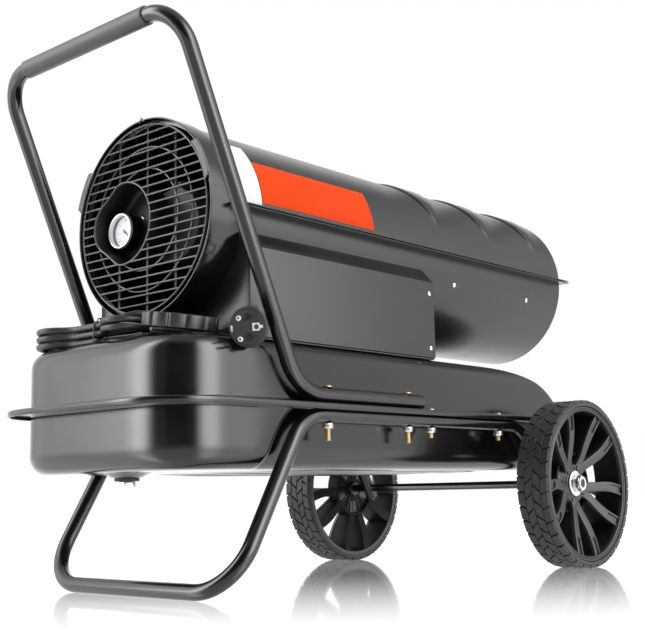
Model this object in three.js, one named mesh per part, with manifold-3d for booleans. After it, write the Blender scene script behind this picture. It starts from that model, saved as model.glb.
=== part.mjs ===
// Diesel forced air heater on a two-wheeled carriage.
// Millimetres, +Z up, +X to the air outlet, -Y the side with the filler cap; the floor is at height 0.
import * as THREE from "three";
import { mergeVertices } from "three/addons/utils/BufferGeometryUtils.js";
import Module from "manifold-3d";

const wasm = await Module();
wasm.setup();

// Driving dimensions. Lengths are in millimetres and angles in degrees.
// A share is a part of a named length.
const facets = { fine: 32, round: 24, medium: 20, small: 16, tiny: 10 };
const clearance = 0.3;
const overrun = 6;
const sheet = 1.5;

const tank = {
  parting: 181,
  front: -350,
  rear: 345,
  lobeInset: 2.7,
  waistInset: 12.7,
  frontCorner: 59,
  rearCorner: 50,
  upperHeight: 63,
  lowerDepth: 63,
  edgeRound: 18,
  sternLength: 145,
  waistAtFlange: -187,
  waistSweep: 54,
  waistLength: 14,
  flangeFront: 24,
  flangeSide: 13,
  flangeRear: 10,
  flangeCorner: 11,
  hemDepth: 4.7,
  ribWidth: 16,
  ribHeight: 2.5,
  ribLength: 420,
  ribPitch: 70,
};
const drain = {
  x: -303,
  bossRadius: 25,
  bossNose: 15,
  bossDrop: 4.7,
  washerRadius: 12.2,
  washerThick: 3,
  hexFlats: 14.5,
  hexHeight: 5.3,
  threadRadius: 6,
  threadLength: 12,
};
const filler = {
  x: -303,
  sideInset: 58.4,
  capRise: 14,
  tilt: 9,
  capRadius: 36.5,
  capThick: 14,
  lobeDepth: 2.6,
  capLobes: 12,
  capDish: 2,
  domeRadius: 33,
  neckRadius: 26,
  boreRadius: 22,
  skirtRadius: 20,
  skirtWall: 2,
  skirtDepth: 9,
  sealThick: 2,
  strainerRadius: 19,
  strainerWall: 1.2,
  strainerDepth: 34,
};
const tube = {
  radius: 8,
  halfTrack: 139.7,
  openDepth: 14,
  wall: 1.5,
};
const handle = {
  openEnd: -10.3,
  corner: -206.4,
  topX: -360.4,
  topHeight: 541.5,
  footBend: 52,
  topBend: 41,
  gripInset: 0.7,
  gripWall: 1.5,
};
const frame = {
  frontCorner: -198.8,
  rearCorner: 193.9,
  footX: -296.5,
  bend: 50,
  pastAxle: 14,
};
const wheel = {
  x: 236.5,
  radius: 100,
  clearOfTube: 17,
  width: 41.5,
  tyreWall: 7,
  treadRound: 2.6,
  rimWall: 4,
  rimDrop: 3,
  hubRadius: 22,
  hubLength: 20,
  hubSet: 20.3,
  backRadius: 35,
  backThick: 4,
  spokeWidth: 9.5,
  spokeDepth: 9,
  spokeWall: 2,
  spokeBack: 3.3,
  spokeSway: 20,
  spokePairs: 5,
  firstPair: 52,
};
const axle = {
  radius: 5,
  washerRadius: 15.5,
  washerThick: 2,
  nutFlats: 17,
  nutHeight: 9,
};
const bolt = {
  radius: 3,
  headRadius: 5.4,
  headHeight: 2.2,
  nutFlats: 10,
  nutHeight: 5,
  longEnd: 12,
  shortEnd: 5.5,
  longFirst: -164.1,
  longSecond: -34.3,
  shortFirst: 6.9,
  shortSecond: 141.4,
};
const shell = {
  aboveTank: 28.6,
  radius: 102.8,
  front: -263,
  rear: 370,
  wall: 1.2,
  split: 1.25,
  lip: 15.2,
  bandFirst: 98,
  bandMargin: 19,
  bandHalfWidth: 29,
  bandRaise: 2.6,
  bandEndAngle: 23,
  bands: 3,
};
const collar = {
  front: -287,
  back: -247.4,
  wall: 1.9,
  seatWall: 2,
  lipDepth: 3,
  notchWidth: 14,
  notchDepth: 4,
  clipWidth: 26,
  clipThick: 3,
  clipDepth: 12,
  latchWidth: 12,
};
const guard = {
  wire: 2,
  pitch: 9.1,
  innerRing: 53,
  outerRing: 75,
  firstUpright: 39.5,
  secondUpright: -5.5,
  thirdUpright: -49,
  recessOffset: 21,
  recessRise: 0.6,
  recessRadius: 42,
  lobeInset: 19.2,
  lobeRadius: 27,
  recessDepth: 30,
  recessWall: 1.4,
  weldShare: 0.85,
};
const gauge = {
  drop: 1.9,
  radius: 19.3,
  bezel: 2.6,
  depth: 17,
  lensSet: 1.5,
  lensThick: 1.2,
  needleLength: 15,
  needleWidth: 1.2,
  needleTail: 4,
  pinRadius: 1.6,
};
const motor = {
  back: -214,
  radius: 45,
  length: 92,
  capLength: 12,
  shaftRadius: 4,
  legSpread: 52,
  legThick: 4,
  bracketLength: 34,
};
const pump = {
  radius: 40,
  length: 30,
  portRadius: 7,
  portLength: 9,
};
const fan = {
  back: -108,
  radius: 93,
  hubRadius: 20,
  hubLength: 26,
  bladeDepth: 30,
  bladeThick: 1.6,
  blades: 6,
};
const burner = {
  front: -44,
  radius: 75,
  wall: 1.2,
  headThick: 3,
  slotRadius: 44,
  slotSize: 9,
  slots: 8,
  nozzleRadius: 9,
  nozzleLength: 22,
  chamberRear: 336,
  footLength: 24,
  footThick: 2,
  footInset: 50,
  coneLength: 24,
  coneMouth: 46,
  baffleRadius: 40,
  baffleGap: 8,
};
const cabinet = {
  front: -247,
  rear: 53,
  inset: 10,
  shoulderDrop: 40.4,
  chamferWidth: 21,
  chamferDrop: 17.4,
  foot: 2,
  lineHole: 9,
};
const controls = {
  x: -150,
  rise: 2.35,
  spread: 46,
  rockerLength: 24,
  rockerWidth: 13,
  rockerProud: 4,
  bezelLip: 2,
  knobRadius: 17,
  knobDepth: 14,
  knobStem: 4,
  lampRadius: 6,
  lampProud: 3,
  rockerTilt: 9,
  boardLength: 96,
  boardGap: 16.6,
  boardThick: 1.6,
  boardSetback: 34,
};
const fuel = {
  pickupX: -60,
  pickupFlange: 14,
  pickupFlangeThick: 3,
  pickupRadius: 3,
  pickupFoot: 12,
  filterRadius: 9,
  filterHeight: 16,
  stubHeight: 12,
};
const cord = {
  radius: 3.5,
  glandY: -30,
  glandRise: 10.4,
  glandRadius: 6.6,
  glandNose: 4.6,
  glandLength: 25,
  glandFlange: 7.9,
  glandFlangeThick: 2.5,
  layerStep: 7.7,
  hankX: -316,
  tieY: 27,
  nearFold: -12.6,
  farFold: 95,
  foldRadius: 21,
  swayRadius: 28,
  waistOffset: 4.2,
  tieThick: 0.8,
  tieWidth: 5,
};
const plug = {
  faceX: -286.4,
  faceY: -152,
  faceRise: 2.1,
  radius: 19,
  faceThick: 6,
  bodyRadius: 16,
  backRadius: 11.5,
  depth: 25,
  pinRadius: 2.4,
  pinLength: 19,
  pinSpacing: 19,
  exitDepth: 14,
  reliefRadius: 5.4,
  reliefNose: 4.4,
  reliefStart: 9,
  reliefLength: 32,
  ribs: 4,
};

const finishes = {
  black: { color: 0x17181a, roughness: 0.45, metalness: 0.3 },
  satin: { color: 0x202124, roughness: 0.5, metalness: 0.2 },
  plastic: { color: 0x141416, roughness: 0.55, metalness: 0 },
  rubber: { color: 0x1c1c1e, roughness: 0.85, metalness: 0 },
  zinc: { color: 0xb9b6a8, roughness: 0.35, metalness: 0.9 },
  steel: { color: 0x9a9ea3, roughness: 0.4, metalness: 0.9 },
  wire: { color: 0x2a2b2e, roughness: 0.35, metalness: 0.5 },
  white: { color: 0xe8e8e6, roughness: 0.5, metalness: 0 },
  glass: { color: 0xdfe8ec, roughness: 0.05, metalness: 0 },
  red: { color: 0xa52a1c, roughness: 0.4, metalness: 0 },
  board: { color: 0x2f6b3a, roughness: 0.6, metalness: 0 },
};

const turn = Math.PI * 2;
const quarter = Math.PI / 2;
const radians = THREE.MathUtils.degToRad;
const point = (x, y, z) => new THREE.Vector3(x, y, z);

// Solids and the booleans between them.
function solid(geometry) {
  const bare = geometry.clone();
  bare.deleteAttribute("normal");
  bare.deleteAttribute("uv");
  const merged = mergeVertices(bare);
  const corners = merged.index.array;
  const kept = [];
  for (let i = 0; i < corners.length; i += 3) {
    const [a, b, c] = [corners[i], corners[i + 1], corners[i + 2]];
    if (a !== b && b !== c && c !== a) kept.push(a, b, c);
  }
  const build = (triVerts) =>
    new wasm.Manifold(
      new wasm.Mesh({ numProp: 3, vertProperties: merged.attributes.position.array, triVerts }),
    );
  const made = build(new Uint32Array(kept));
  return made.volume() < 0 ? build(new Uint32Array(kept.reverse())) : made;
}

function geometryOf(body) {
  const mesh = body.getMesh();
  const geometry = new THREE.BufferGeometry();
  const positions = new Float32Array(mesh.numVert * 3);
  for (let i = 0; i < mesh.numVert; i++) {
    positions.set(mesh.vertProperties.subarray(i * mesh.numProp, i * mesh.numProp + 3), i * 3);
  }
  geometry.setAttribute("position", new THREE.BufferAttribute(positions, 3));
  geometry.setIndex(new THREE.BufferAttribute(mesh.triVerts, 1));
  return geometry;
}

const asSolid = (shape) => (shape.isBufferGeometry ? solid(shape) : shape);
const join = (...shapes) => shapes.map(asSolid).reduce((all, next) => all.add(next));
const cut = (shape, ...tools) =>
  tools.map(asSolid).reduce((rest, tool) => rest.subtract(tool), asSolid(shape));
const overlap = (first, second) => asSolid(first).intersect(asSolid(second));

const heater = new THREE.Group();
const materials = new Map(
  Object.entries(finishes).map(([name, values]) => [
    name,
    new THREE.MeshStandardMaterial({ ...values, flatShading: true }),
  ]),
);
function piece(name, shape, finish) {
  const mesh = new THREE.Mesh(geometryOf(asSolid(shape)), materials.get(finish));
  mesh.name = name;
  heater.add(mesh);
  return mesh;
}

// Basic forms. A turned profile lists [radius, height] pairs round the Z axis.
function turned(profile, segments) {
  const points = profile.map(([radius, height]) => new THREE.Vector2(radius, height));
  return new THREE.LatheGeometry(points, segments).rotateX(quarter);
}
const ringProfile = (inner, outer, low, high) => [
  [inner, low],
  [outer, low],
  [outer, high],
  [inner, high],
  [inner, low],
];
const discProfile = (radius, low, high) => [
  [0, low],
  [radius, low],
  [radius, high],
  [0, high],
];
const alongX = (geometry) => geometry.rotateY(quarter);
const alongY = (geometry) => geometry.rotateX(-quarter);
const block = (lowX, highX, lowY, highY, lowZ, highZ) =>
  new THREE.BoxGeometry(highX - lowX, highY - lowY, highZ - lowZ).translate(
    (lowX + highX) / 2,
    (lowY + highY) / 2,
    (lowZ + highZ) / 2,
  );
const upright = (radius, x, y, low, high, sides) =>
  turned(discProfile(radius, low, high), sides).translate(x, y, 0);
const hexagon = (flats, low, high) => turned(discProfile(flats / Math.sqrt(3), low, high), 6);
const plate = (outline, thickness) =>
  new THREE.ExtrudeGeometry(new THREE.Shape(outline.map(([x, y]) => new THREE.Vector2(x, y))), {
    depth: thickness,
    bevelEnabled: false,
  });
// A plate drawn in the Y-Z plane, standing from x to x + thickness.
const standing = (outline, x, thickness) =>
  plate(outline, thickness).rotateX(quarter).rotateZ(quarter).translate(x, 0, 0);

function section(radius, sides, halfStep = 0) {
  const points = [];
  for (let i = 0; i < sides; i++) {
    const angle = ((i + halfStep) / sides) * turn;
    points.push(new THREE.Vector2(radius * Math.cos(angle), radius * Math.sin(angle)));
  }
  return new THREE.Shape(points);
}

// A centre line that passes through given stations, each with its own direction.
class StationPath extends THREE.Curve {
  constructor(stations) {
    super();
    this.stations = stations;
  }
  station(t) {
    return this.stations[Math.round(t * (this.stations.length - 1))];
  }
  getPointAt(t, target = new THREE.Vector3()) {
    return target.copy(this.station(t).at);
  }
  getTangentAt(t, target = new THREE.Vector3()) {
    return target.copy(this.station(t).along);
  }
}

// Straight runs between corners, with an arc of the given radius at each inner corner.
function bentStations(corners, bends, arcSteps) {
  const last = corners.length - 1;
  const start = corners[1].clone().sub(corners[0]).normalize();
  const finish = corners[last].clone().sub(corners[last - 1]).normalize();
  const stations = [{ at: corners[0], along: start }];
  for (let i = 1; i < last; i++) {
    const inward = corners[i].clone().sub(corners[i - 1]).normalize();
    const outward = corners[i + 1].clone().sub(corners[i]).normalize();
    const angle = inward.angleTo(outward);
    const tangent = bends[i - 1] * Math.tan(angle / 2);
    const side = outward.clone().addScaledVector(inward, -Math.cos(angle)).normalize();
    const from = corners[i].clone().addScaledVector(inward, -tangent);
    for (let k = 0; k <= arcSteps; k++) {
      const a = (angle * k) / arcSteps;
      const at = from.clone().addScaledVector(inward, bends[i - 1] * Math.sin(a));
      at.addScaledVector(side, bends[i - 1] * (1 - Math.cos(a)));
      const along = inward.clone().multiplyScalar(Math.cos(a)).addScaledVector(side, Math.sin(a));
      stations.push({ at, along });
    }
  }
  stations.push({ at: corners[last], along: finish });
  return stations;
}

// Stations along a smooth curve through points, evenly spread; the ends keep their given directions.
function curvedStations(points, steps, startAlong, endAlong) {
  const curve = new THREE.CatmullRomCurve3(points, false, "centripetal");
  const stations = [];
  for (let i = 0; i <= steps; i++) {
    stations.push({ at: curve.getPointAt(i / steps), along: curve.getTangentAt(i / steps) });
  }
  if (startAlong) stations[0].along = startAlong;
  if (endAlong) stations[steps].along = endAlong;
  return stations;
}

const swept = (shape, stations) =>
  new THREE.ExtrudeGeometry(shape, {
    steps: stations.length - 1,
    extrudePath: new StationPath(stations),
    bevelEnabled: false,
  });

// A closed skin through rings of equal point counts, with a flat cap on the first and the last.
function loft(rings) {
  const count = rings[0].length;
  const positions = rings.flat().flatMap((p) => [p.x, p.y, p.z]);
  const faces = [];
  for (let i = 0; i + 1 < rings.length; i++) {
    for (let j = 0; j < count; j++) {
      const a = i * count + j;
      const b = i * count + ((j + 1) % count);
      faces.push(a, b, b + count, a, b + count, a + count);
    }
  }
  const cap = (ring, offset, reversed) => {
    const normal = new THREE.Vector3();
    ring.forEach((p, j) => normal.add(p.clone().cross(ring[(j + 1) % count])));
    normal.normalize();
    const across = ring[1].clone().sub(ring[0]).normalize();
    const up = normal.clone().cross(across);
    const flat = ring.map((p) => new THREE.Vector2(p.dot(across), p.dot(up)));
    for (const [a, b, c] of THREE.ShapeUtils.triangulateShape(flat, [])) {
      const forward = THREE.ShapeUtils.area([flat[a], flat[b], flat[c]]) > 0;
      if (forward !== reversed) faces.push(offset + a, offset + b, offset + c);
      else faces.push(offset + a, offset + c, offset + b);
    }
  };
  cap(rings[0], 0, true);
  cap(rings[rings.length - 1], (rings.length - 1) * count, false);
  const geometry = new THREE.BufferGeometry();
  geometry.setAttribute("position", new THREE.Float32BufferAttribute(positions, 3));
  geometry.setIndex(faces);
  return geometry;
}

// Tank: two pressed halves that meet at a flange. The sides draw in behind the front lobe,
// where the carriage tubes run, and the rear of the upper half slopes down like a stern.
const tankTop = tank.parting + tank.upperHeight;
const tankBottom = tank.parting - tank.lowerDepth;
const lobeHalfWidth = tube.halfTrack - tank.lobeInset;
const waistHalfWidth = tube.halfTrack - tank.waistInset;
const fillerY = filler.sideInset - lobeHalfWidth;
const axisHeight = tankTop + shell.aboveTank + shell.radius;
const bandSpan = shell.rear - shell.bandMargin - shell.bandHalfWidth - shell.bandFirst;
const bandPitch = bandSpan / (shell.bands - 1);
const wheelInner = tube.halfTrack + tube.radius + wheel.clearOfTube;
const hubFace = wheelInner + wheel.hubSet;
const washerSeat = hubFace + clearance;
const nutSeat = washerSeat + axle.washerThick + clearance;
const gripHalfLength = tube.halfTrack - handle.topBend - handle.gripInset;
const axleEnd = nutSeat + axle.nutHeight - clearance;
const flangeGap = clearance / 2;
const cornerSteps = 4;
const waistShares = [0, 0.35, 0.65, 1];

// One level of the tank outline. Both sides list the same number of points at every level.
function tankRing(height, level) {
  const side = [];
  side.push([level.front, 0]);
  for (let k = 0; k <= cornerSteps; k++) {
    const a = (quarter * k) / cornerSteps;
    side.push([
      level.front + level.frontCorner * (1 - Math.cos(a)),
      level.lobe - level.frontCorner * (1 - Math.sin(a)),
    ]);
  }
  for (const share of waistShares) {
    const ease = share * share * (3 - 2 * share);
    const across = level.lobe + (level.narrow - level.lobe) * ease;
    side.push([level.waist - tank.waistLength * (1 - share), across]);
  }
  for (let k = 0; k <= cornerSteps; k++) {
    const a = (quarter * k) / cornerSteps;
    side.push([
      level.rear - level.rearCorner * (1 - Math.sin(a)),
      level.narrow - level.rearCorner * (1 - Math.cos(a)),
    ]);
  }
  side.push([level.rear, 0]);
  const far = side.map(([x, y]) => point(x, y, height));
  const near = side.slice(1, -1).reverse().map(([x, y]) => point(x, -y, height));
  return [...far, ...near];
}

// The body's outline at a height above or below the parting plane, moved in by an inset.
function tankLevel(rise, inset, rear) {
  return {
    front: tank.front + inset,
    lobe: lobeHalfWidth - inset,
    narrow: waistHalfWidth - inset,
    frontCorner: tank.frontCorner - inset,
    rearCorner: tank.rearCorner,
    rear: rear - inset,
    waist: tank.waistAtFlange - tank.waistSweep * Math.sqrt(Math.max(rise, 0) / tank.upperHeight),
  };
}
const flangeLevel = (spread) => ({
  front: tank.front - tank.flangeFront - spread,
  lobe: lobeHalfWidth + tank.flangeSide + spread,
  narrow: lobeHalfWidth + tank.flangeSide + spread,
  frontCorner: tank.frontCorner + tank.flangeCorner + spread,
  rearCorner: tank.rearCorner + tank.flangeCorner + spread,
  rear: tank.rear + tank.flangeRear + spread,
  waist: tank.waistAtFlange,
});

const outerRound = [90, 55, 25, 0].map(radians);
const innerRound = [90, 40, 0].map(radians);
const wallShares = [0.4, 0.75];

function sternReach(rise, height) {
  const climb = Math.min(rise / height, 1);
  return tank.rear - tank.sternLength * (1 - Math.sqrt(1 - climb * climb));
}

// Body rings from the flat top or bottom to the flange, for the outer skin or, inset, the inner one.
function bodyRings(direction, height, skin, stern) {
  const rings = [];
  const roundAngles = skin ? innerRound : outerRound;
  const round = tank.edgeRound - skin;
  const ringAt = (rise, inset) => {
    const rear = stern ? sternReach(rise, height + skin) : tank.rear;
    rings.push(tankRing(tank.parting + direction * rise, tankLevel(rise, inset + skin, rear)));
  };
  for (const angle of roundAngles) {
    ringAt(height - round * (1 - Math.sin(angle)), round * (1 - Math.cos(angle)));
  }
  for (const share of stern ? wallShares : [0.6]) ringAt((height - round) * (1 - share), 0);
  ringAt(flangeGap + sheet, 0);
  return rings;
}

function tankHalf(direction, height, stern, hem) {
  const outer = bodyRings(direction, height, 0, stern);
  const inner = bodyRings(direction, height - sheet, sheet, stern).reverse();
  const faceZ = tank.parting + direction * (flangeGap + sheet);
  const joinZ = tank.parting + direction * flangeGap;
  const rings = [...outer];
  if (hem) {
    const hemZ = tank.parting - direction * hem;
    rings.push(tankRing(faceZ, flangeLevel(0)));
    rings.push(tankRing(hemZ, flangeLevel(0)));
    rings.push(tankRing(hemZ, flangeLevel(-sheet)));
    rings.push(tankRing(joinZ, flangeLevel(-sheet)));
  } else {
    rings.push(tankRing(faceZ, flangeLevel(-sheet - clearance)));
    rings.push(tankRing(joinZ, flangeLevel(-sheet - clearance)));
  }
  const mouth = tankLevel(0, sheet, tank.rear);
  rings.push(tankRing(joinZ, mouth));
  rings.push(...inner);
  return loft(rings);
}

const boltPlaces = [bolt.longFirst, bolt.longSecond, bolt.shortFirst, bolt.shortSecond];
const sides = [-1, 1];
const boltHole = (low, high) =>
  boltPlaces.flatMap((x) =>
    sides.map((side) =>
      upright(bolt.radius + clearance, x, side * tube.halfTrack, low, high, facets.tiny),
    ),
  );
const flangeTop = tank.parting + flangeGap + sheet;
const flangeUnder = tank.parting - flangeGap - sheet;
const flangeHoles = boltHole(flangeUnder - overrun, flangeTop + overrun);

// Filler: a coned boss with a neck, tilted outwards, under a scalloped cap with its gasket and strainer.
const fillerTilt = new THREE.Matrix4()
  .makeRotationX(radians(filler.tilt))
  .setPosition(filler.x, fillerY, tankTop + filler.capRise);
const tilted = (geometry) => geometry.applyMatrix4(fillerTilt);
const capUnder = -filler.capThick / 2;
const neckTop = capUnder - filler.sealThick - clearance * 2;
const bossBase = -filler.capRise - overrun;

{
  const bore = tilted(upright(filler.boreRadius, 0, 0, bossBase - tank.edgeRound, 0, facets.medium));
  const boss = turned(
    [
      [filler.boreRadius, bossBase - overrun],
      [filler.domeRadius + overrun, bossBase - overrun],
      [filler.domeRadius, -filler.capRise + clearance],
      [filler.neckRadius + 2 * clearance, neckTop - sheet * 2],
      [filler.neckRadius, neckTop],
      [filler.boreRadius, neckTop],
      [filler.boreRadius, bossBase - overrun],
    ],
    facets.medium,
  );
  const below = block(
    filler.x - lobeHalfWidth,
    filler.x + lobeHalfWidth,
    fillerY - lobeHalfWidth,
    fillerY + lobeHalfWidth,
    tankBottom,
    tankTop + clearance,
  );
  piece("filler_neck", cut(tilted(boss), below), "black");
  const pickupHole = upright(
    fuel.pickupRadius + clearance,
    fuel.pickupX,
    0,
    tankTop - sheet - overrun,
    tankTop + overrun,
    facets.tiny,
  );
  const upper = tankHalf(1, tank.upperHeight, true, tank.hemDepth);
  piece("tank_upper", cut(upper, bore, pickupHole, ...flangeHoles), "black");
}

{
  const boss = turned(
    [
      [0, tankBottom - drain.bossDrop],
      [drain.bossNose, tankBottom - drain.bossDrop],
      [drain.bossRadius, tankBottom + sheet / 2],
      [0, tankBottom + sheet / 2],
    ],
    facets.small,
  ).translate(drain.x, 0, 0);
  const rib = (y) => {
    const half = tank.ribWidth / 2;
    const outline = [
      [y - half, tankBottom + sheet / 2],
      [y - half / 2, tankBottom - tank.ribHeight],
      [y + half / 2, tankBottom - tank.ribHeight],
      [y + half, tankBottom + sheet / 2],
    ];
    return standing(outline, tank.waistAtFlange - tank.waistSweep / 2, tank.ribLength);
  };
  const ribs = [-1, 0, 1].map((k) => rib(k * tank.ribPitch));
  const threadHole = upright(
    drain.threadRadius + clearance,
    drain.x,
    0,
    tankBottom - drain.bossDrop - overrun,
    tankBottom + sheet + overrun,
    facets.small,
  );
  const half = tankHalf(-1, tank.lowerDepth, false, 0);
  piece("tank_lower", cut(join(half, boss, ...ribs), threadHole, ...flangeHoles), "satin");
}

{
  const washerTop = tankBottom - drain.bossDrop - clearance;
  const washerLow = washerTop - drain.washerThick;
  piece(
    "drain_washer",
    turned(ringProfile(drain.threadRadius + clearance, drain.washerRadius, washerLow, washerTop), facets.small).translate(
      drain.x,
      0,
      0,
    ),
    "rubber",
  );
  const headTop = washerLow - clearance;
  const head = hexagon(drain.hexFlats, headTop - drain.hexHeight, headTop);
  const threadTop = headTop + drain.threadLength;
  const thread = turned(discProfile(drain.threadRadius, headTop - clearance, threadTop), facets.small);
  piece("drain_plug", join(head, thread).translate(drain.x, 0, 0), "zinc");
}

{
  const lobes = [];
  const steps = filler.capLobes * 3;
  for (let i = 0; i < steps; i++) {
    const angle = (i / steps) * turn;
    const wave = Math.sqrt(Math.abs(Math.sin((angle * filler.capLobes) / 2)));
    const radius = filler.capRadius - filler.lobeDepth * (1 - wave);
    lobes.push([radius, angle]);
  }
  const lobed = (shrink, height) =>
    lobes.map(([radius, angle]) => point((radius - shrink) * Math.cos(angle), (radius - shrink) * Math.sin(angle), height));
  const topHeight = filler.capThick / 2;
  const crown = loft([
    lobed(0, capUnder),
    lobed(0, topHeight - filler.capDish),
    lobed(filler.capDish, topHeight),
  ]);
  const dishFloor = topHeight - filler.capDish;
  const dish = turned(discProfile(filler.neckRadius, dishFloor, topHeight + overrun), facets.medium);
  const skirt = turned(
    ringProfile(
      filler.skirtRadius - filler.skirtWall,
      filler.skirtRadius,
      capUnder - filler.skirtDepth,
      capUnder + filler.skirtWall,
    ),
    facets.medium,
  );
  piece("fuel_cap", tiltedBody(join(cut(crown, dish), skirt)), "plastic");
  const sealTop = capUnder - clearance;
  piece(
    "cap_seal",
    tilted(
      turned(
        ringProfile(filler.skirtRadius + clearance, filler.neckRadius, sealTop - filler.sealThick, sealTop),
        facets.medium,
      ),
    ),
    "rubber",
  );
}

{
  const rim = neckTop;
  const outer = filler.strainerRadius;
  const wall = filler.strainerWall;
  const low = rim - filler.strainerDepth;
  const basket = turned(
    [
      [0, low],
      [outer - wall, low],
      [outer, rim - filler.skirtDepth - wall * 2],
      [filler.boreRadius - clearance, rim - filler.skirtDepth - wall * 2],
      [filler.boreRadius - clearance, rim - filler.skirtDepth - wall],
      [outer - wall, rim - filler.skirtDepth - wall],
      [outer - wall * 2, low + wall],
      [0, low + wall],
    ],
    facets.small,
  );
  piece("fuel_strainer", tilted(basket), "plastic");
}

function tiltedBody(body) {
  return solid(geometryOf(body).applyMatrix4(fillerTilt));
}

// Carriage: a bent handle with a foam grip over a bent frame, both bolted through the tank flange.
const handleHeight = flangeTop + clearance + tube.radius;
const frameHeight = flangeUnder - clearance - tube.radius;
const nutTop = frameHeight - tube.radius - clearance;
const tubeHoles = boltHole(nutTop - overrun, handleHeight + tube.radius + overrun);
const tubeSides = 10;

{
  const corners = [
    point(handle.openEnd, -tube.halfTrack, handleHeight),
    point(handle.corner, -tube.halfTrack, handleHeight),
    point(handle.topX, -tube.halfTrack, handle.topHeight),
    point(handle.topX, tube.halfTrack, handle.topHeight),
    point(handle.corner, tube.halfTrack, handleHeight),
    point(handle.openEnd, tube.halfTrack, handleHeight),
  ];
  const bends = [handle.footBend, handle.topBend, handle.topBend, handle.footBend];
  const bar = swept(section(tube.radius, tubeSides), bentStations(corners, bends, 4));
  const openings = sides.map((side) =>
    alongX(turned(discProfile(tube.radius - tube.wall, -tube.openDepth, overrun), facets.tiny)).translate(
      handle.openEnd,
      side * tube.halfTrack,
      handleHeight,
    ),
  );
  piece("handle", cut(bar, ...openings, ...tubeHoles), "black");
  const grip = turned(
    ringProfile(
      tube.radius + clearance,
      tube.radius + handle.gripWall,
      -gripHalfLength,
      gripHalfLength,
    ),
    facets.small,
  );
  piece("handle_grip", alongY(grip).translate(handle.topX, 0, handle.topHeight), "rubber");
}

// The tube's section is turned so that one of its flats lies along the floor under the foot bar.
const axleHeight = wheel.radius;
const footHeight = tube.radius * Math.cos(turn / 2 / tubeSides);
{
  const rise = frameHeight - axleHeight;
  const back = wheel.x - frame.rearCorner;
  const past = frame.pastAxle / Math.hypot(rise, back);
  const legEnd = [wheel.x + back * past, axleHeight - rise * past];
  const half = (side) => [
    point(legEnd[0], side * tube.halfTrack, legEnd[1]),
    point(frame.rearCorner, side * tube.halfTrack, frameHeight),
    point(frame.frontCorner, side * tube.halfTrack, frameHeight),
    point(frame.footX, side * tube.halfTrack, footHeight),
  ];
  const corners = [...half(-1), ...half(1).reverse()];
  const bends = corners.slice(1, -1).map(() => frame.bend);
  const legSlant = Math.atan2(frame.frontCorner - frame.footX, frameHeight - footHeight);
  const flatDown = 0.5 - (legSlant / turn) * tubeSides;
  const bar = swept(section(tube.radius, tubeSides, flatDown), bentStations(corners, bends, 4));
  const axleBore = alongY(
    turned(discProfile(axle.radius + clearance, -wheelInner, wheelInner), facets.tiny),
  ).translate(wheel.x, 0, axleHeight);
  piece("frame", cut(bar, axleBore, ...tubeHoles), "black");
  const rod = turned(
    [
      [0, -axleEnd],
      [axle.radius - clearance * 2, -axleEnd],
      [axle.radius, -axleEnd + clearance * 2],
      [axle.radius, axleEnd - clearance * 2],
      [axle.radius - clearance * 2, axleEnd],
      [0, axleEnd],
    ],
    facets.tiny,
  );
  piece("axle", alongY(rod).translate(wheel.x, 0, axleHeight), "black");
}

function flangeBolt(name, x, side, long) {
  const seat = long ? handleHeight + tube.radius + clearance : flangeTop + clearance;
  const end = nutTop - bolt.nutHeight - (long ? bolt.longEnd : bolt.shortEnd);
  const head = turned(
    [
      [0, seat],
      [bolt.headRadius, seat],
      [bolt.headRadius, seat + bolt.headHeight / 4],
      [bolt.headRadius * 0.6, seat + bolt.headHeight],
      [0, seat + bolt.headHeight],
    ],
    facets.tiny,
  );
  const nut = hexagon(bolt.nutFlats, nutTop - bolt.nutHeight, nutTop);
  const shank = turned(discProfile(bolt.radius, end, seat + clearance), facets.tiny);
  piece(name, join(head, nut, shank).translate(x, side * tube.halfTrack, 0), "zinc");
}
const sideNames = new Map([
  [-1, "near"],
  [1, "far"],
]);
for (const side of sides) {
  const word = sideNames.get(side);
  flangeBolt("handle_bolt_front_" + word, bolt.longFirst, side, true);
  flangeBolt("handle_bolt_rear_" + word, bolt.longSecond, side, true);
  flangeBolt("frame_bolt_front_" + word, bolt.shortFirst, side, false);
  flangeBolt("frame_bolt_rear_" + word, bolt.shortSecond, side, false);
}

// Wheels: a moulded rim on five pairs of spokes that bow apart and dish out to the rim.
const rimSeat = wheel.radius - wheel.tyreWall;
const wheelOuter = wheelInner + wheel.width;
const spokeReachShares = [0.03, 0.25, 0.46, 0.74, 1];
const spokeSwayShares = [0.2, 0.33, 0.73, 0.95, 1];

function spokeOutline(side, half) {
  const start = wheel.hubRadius - wheel.rimWall;
  const reach = wheel.spokeSway + wheel.spokeWidth / 2;
  const span = Math.sqrt((rimSeat - wheel.rimWall / 2) ** 2 - reach ** 2) - start;
  const centre = spokeReachShares.map((share, i) => [
    start + span * share,
    side * wheel.spokeSway * spokeSwayShares[i],
  ]);
  return [
    ...centre.map(([along, across]) => [along, across - half]),
    ...centre.map(([along, across]) => [along, across + half]).reverse(),
  ];
}

// A spoke's face dishes out to the rim, and its back stays level.
function dished(geometry, back, drop) {
  const position = geometry.attributes.position;
  const inner = hubFace - clearance - drop;
  const outer = wheelOuter - wheel.rimDrop - drop;
  for (let i = 0; i < position.count; i++) {
    const radius = Math.hypot(position.getX(i), position.getY(i));
    const share = Math.min(Math.max((radius - wheel.hubRadius) / (rimSeat - wheel.hubRadius), 0), 1);
    position.setZ(i, position.getZ(i) > 0 ? inner + (outer - inner) * share : back);
  }
  return geometry;
}

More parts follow.
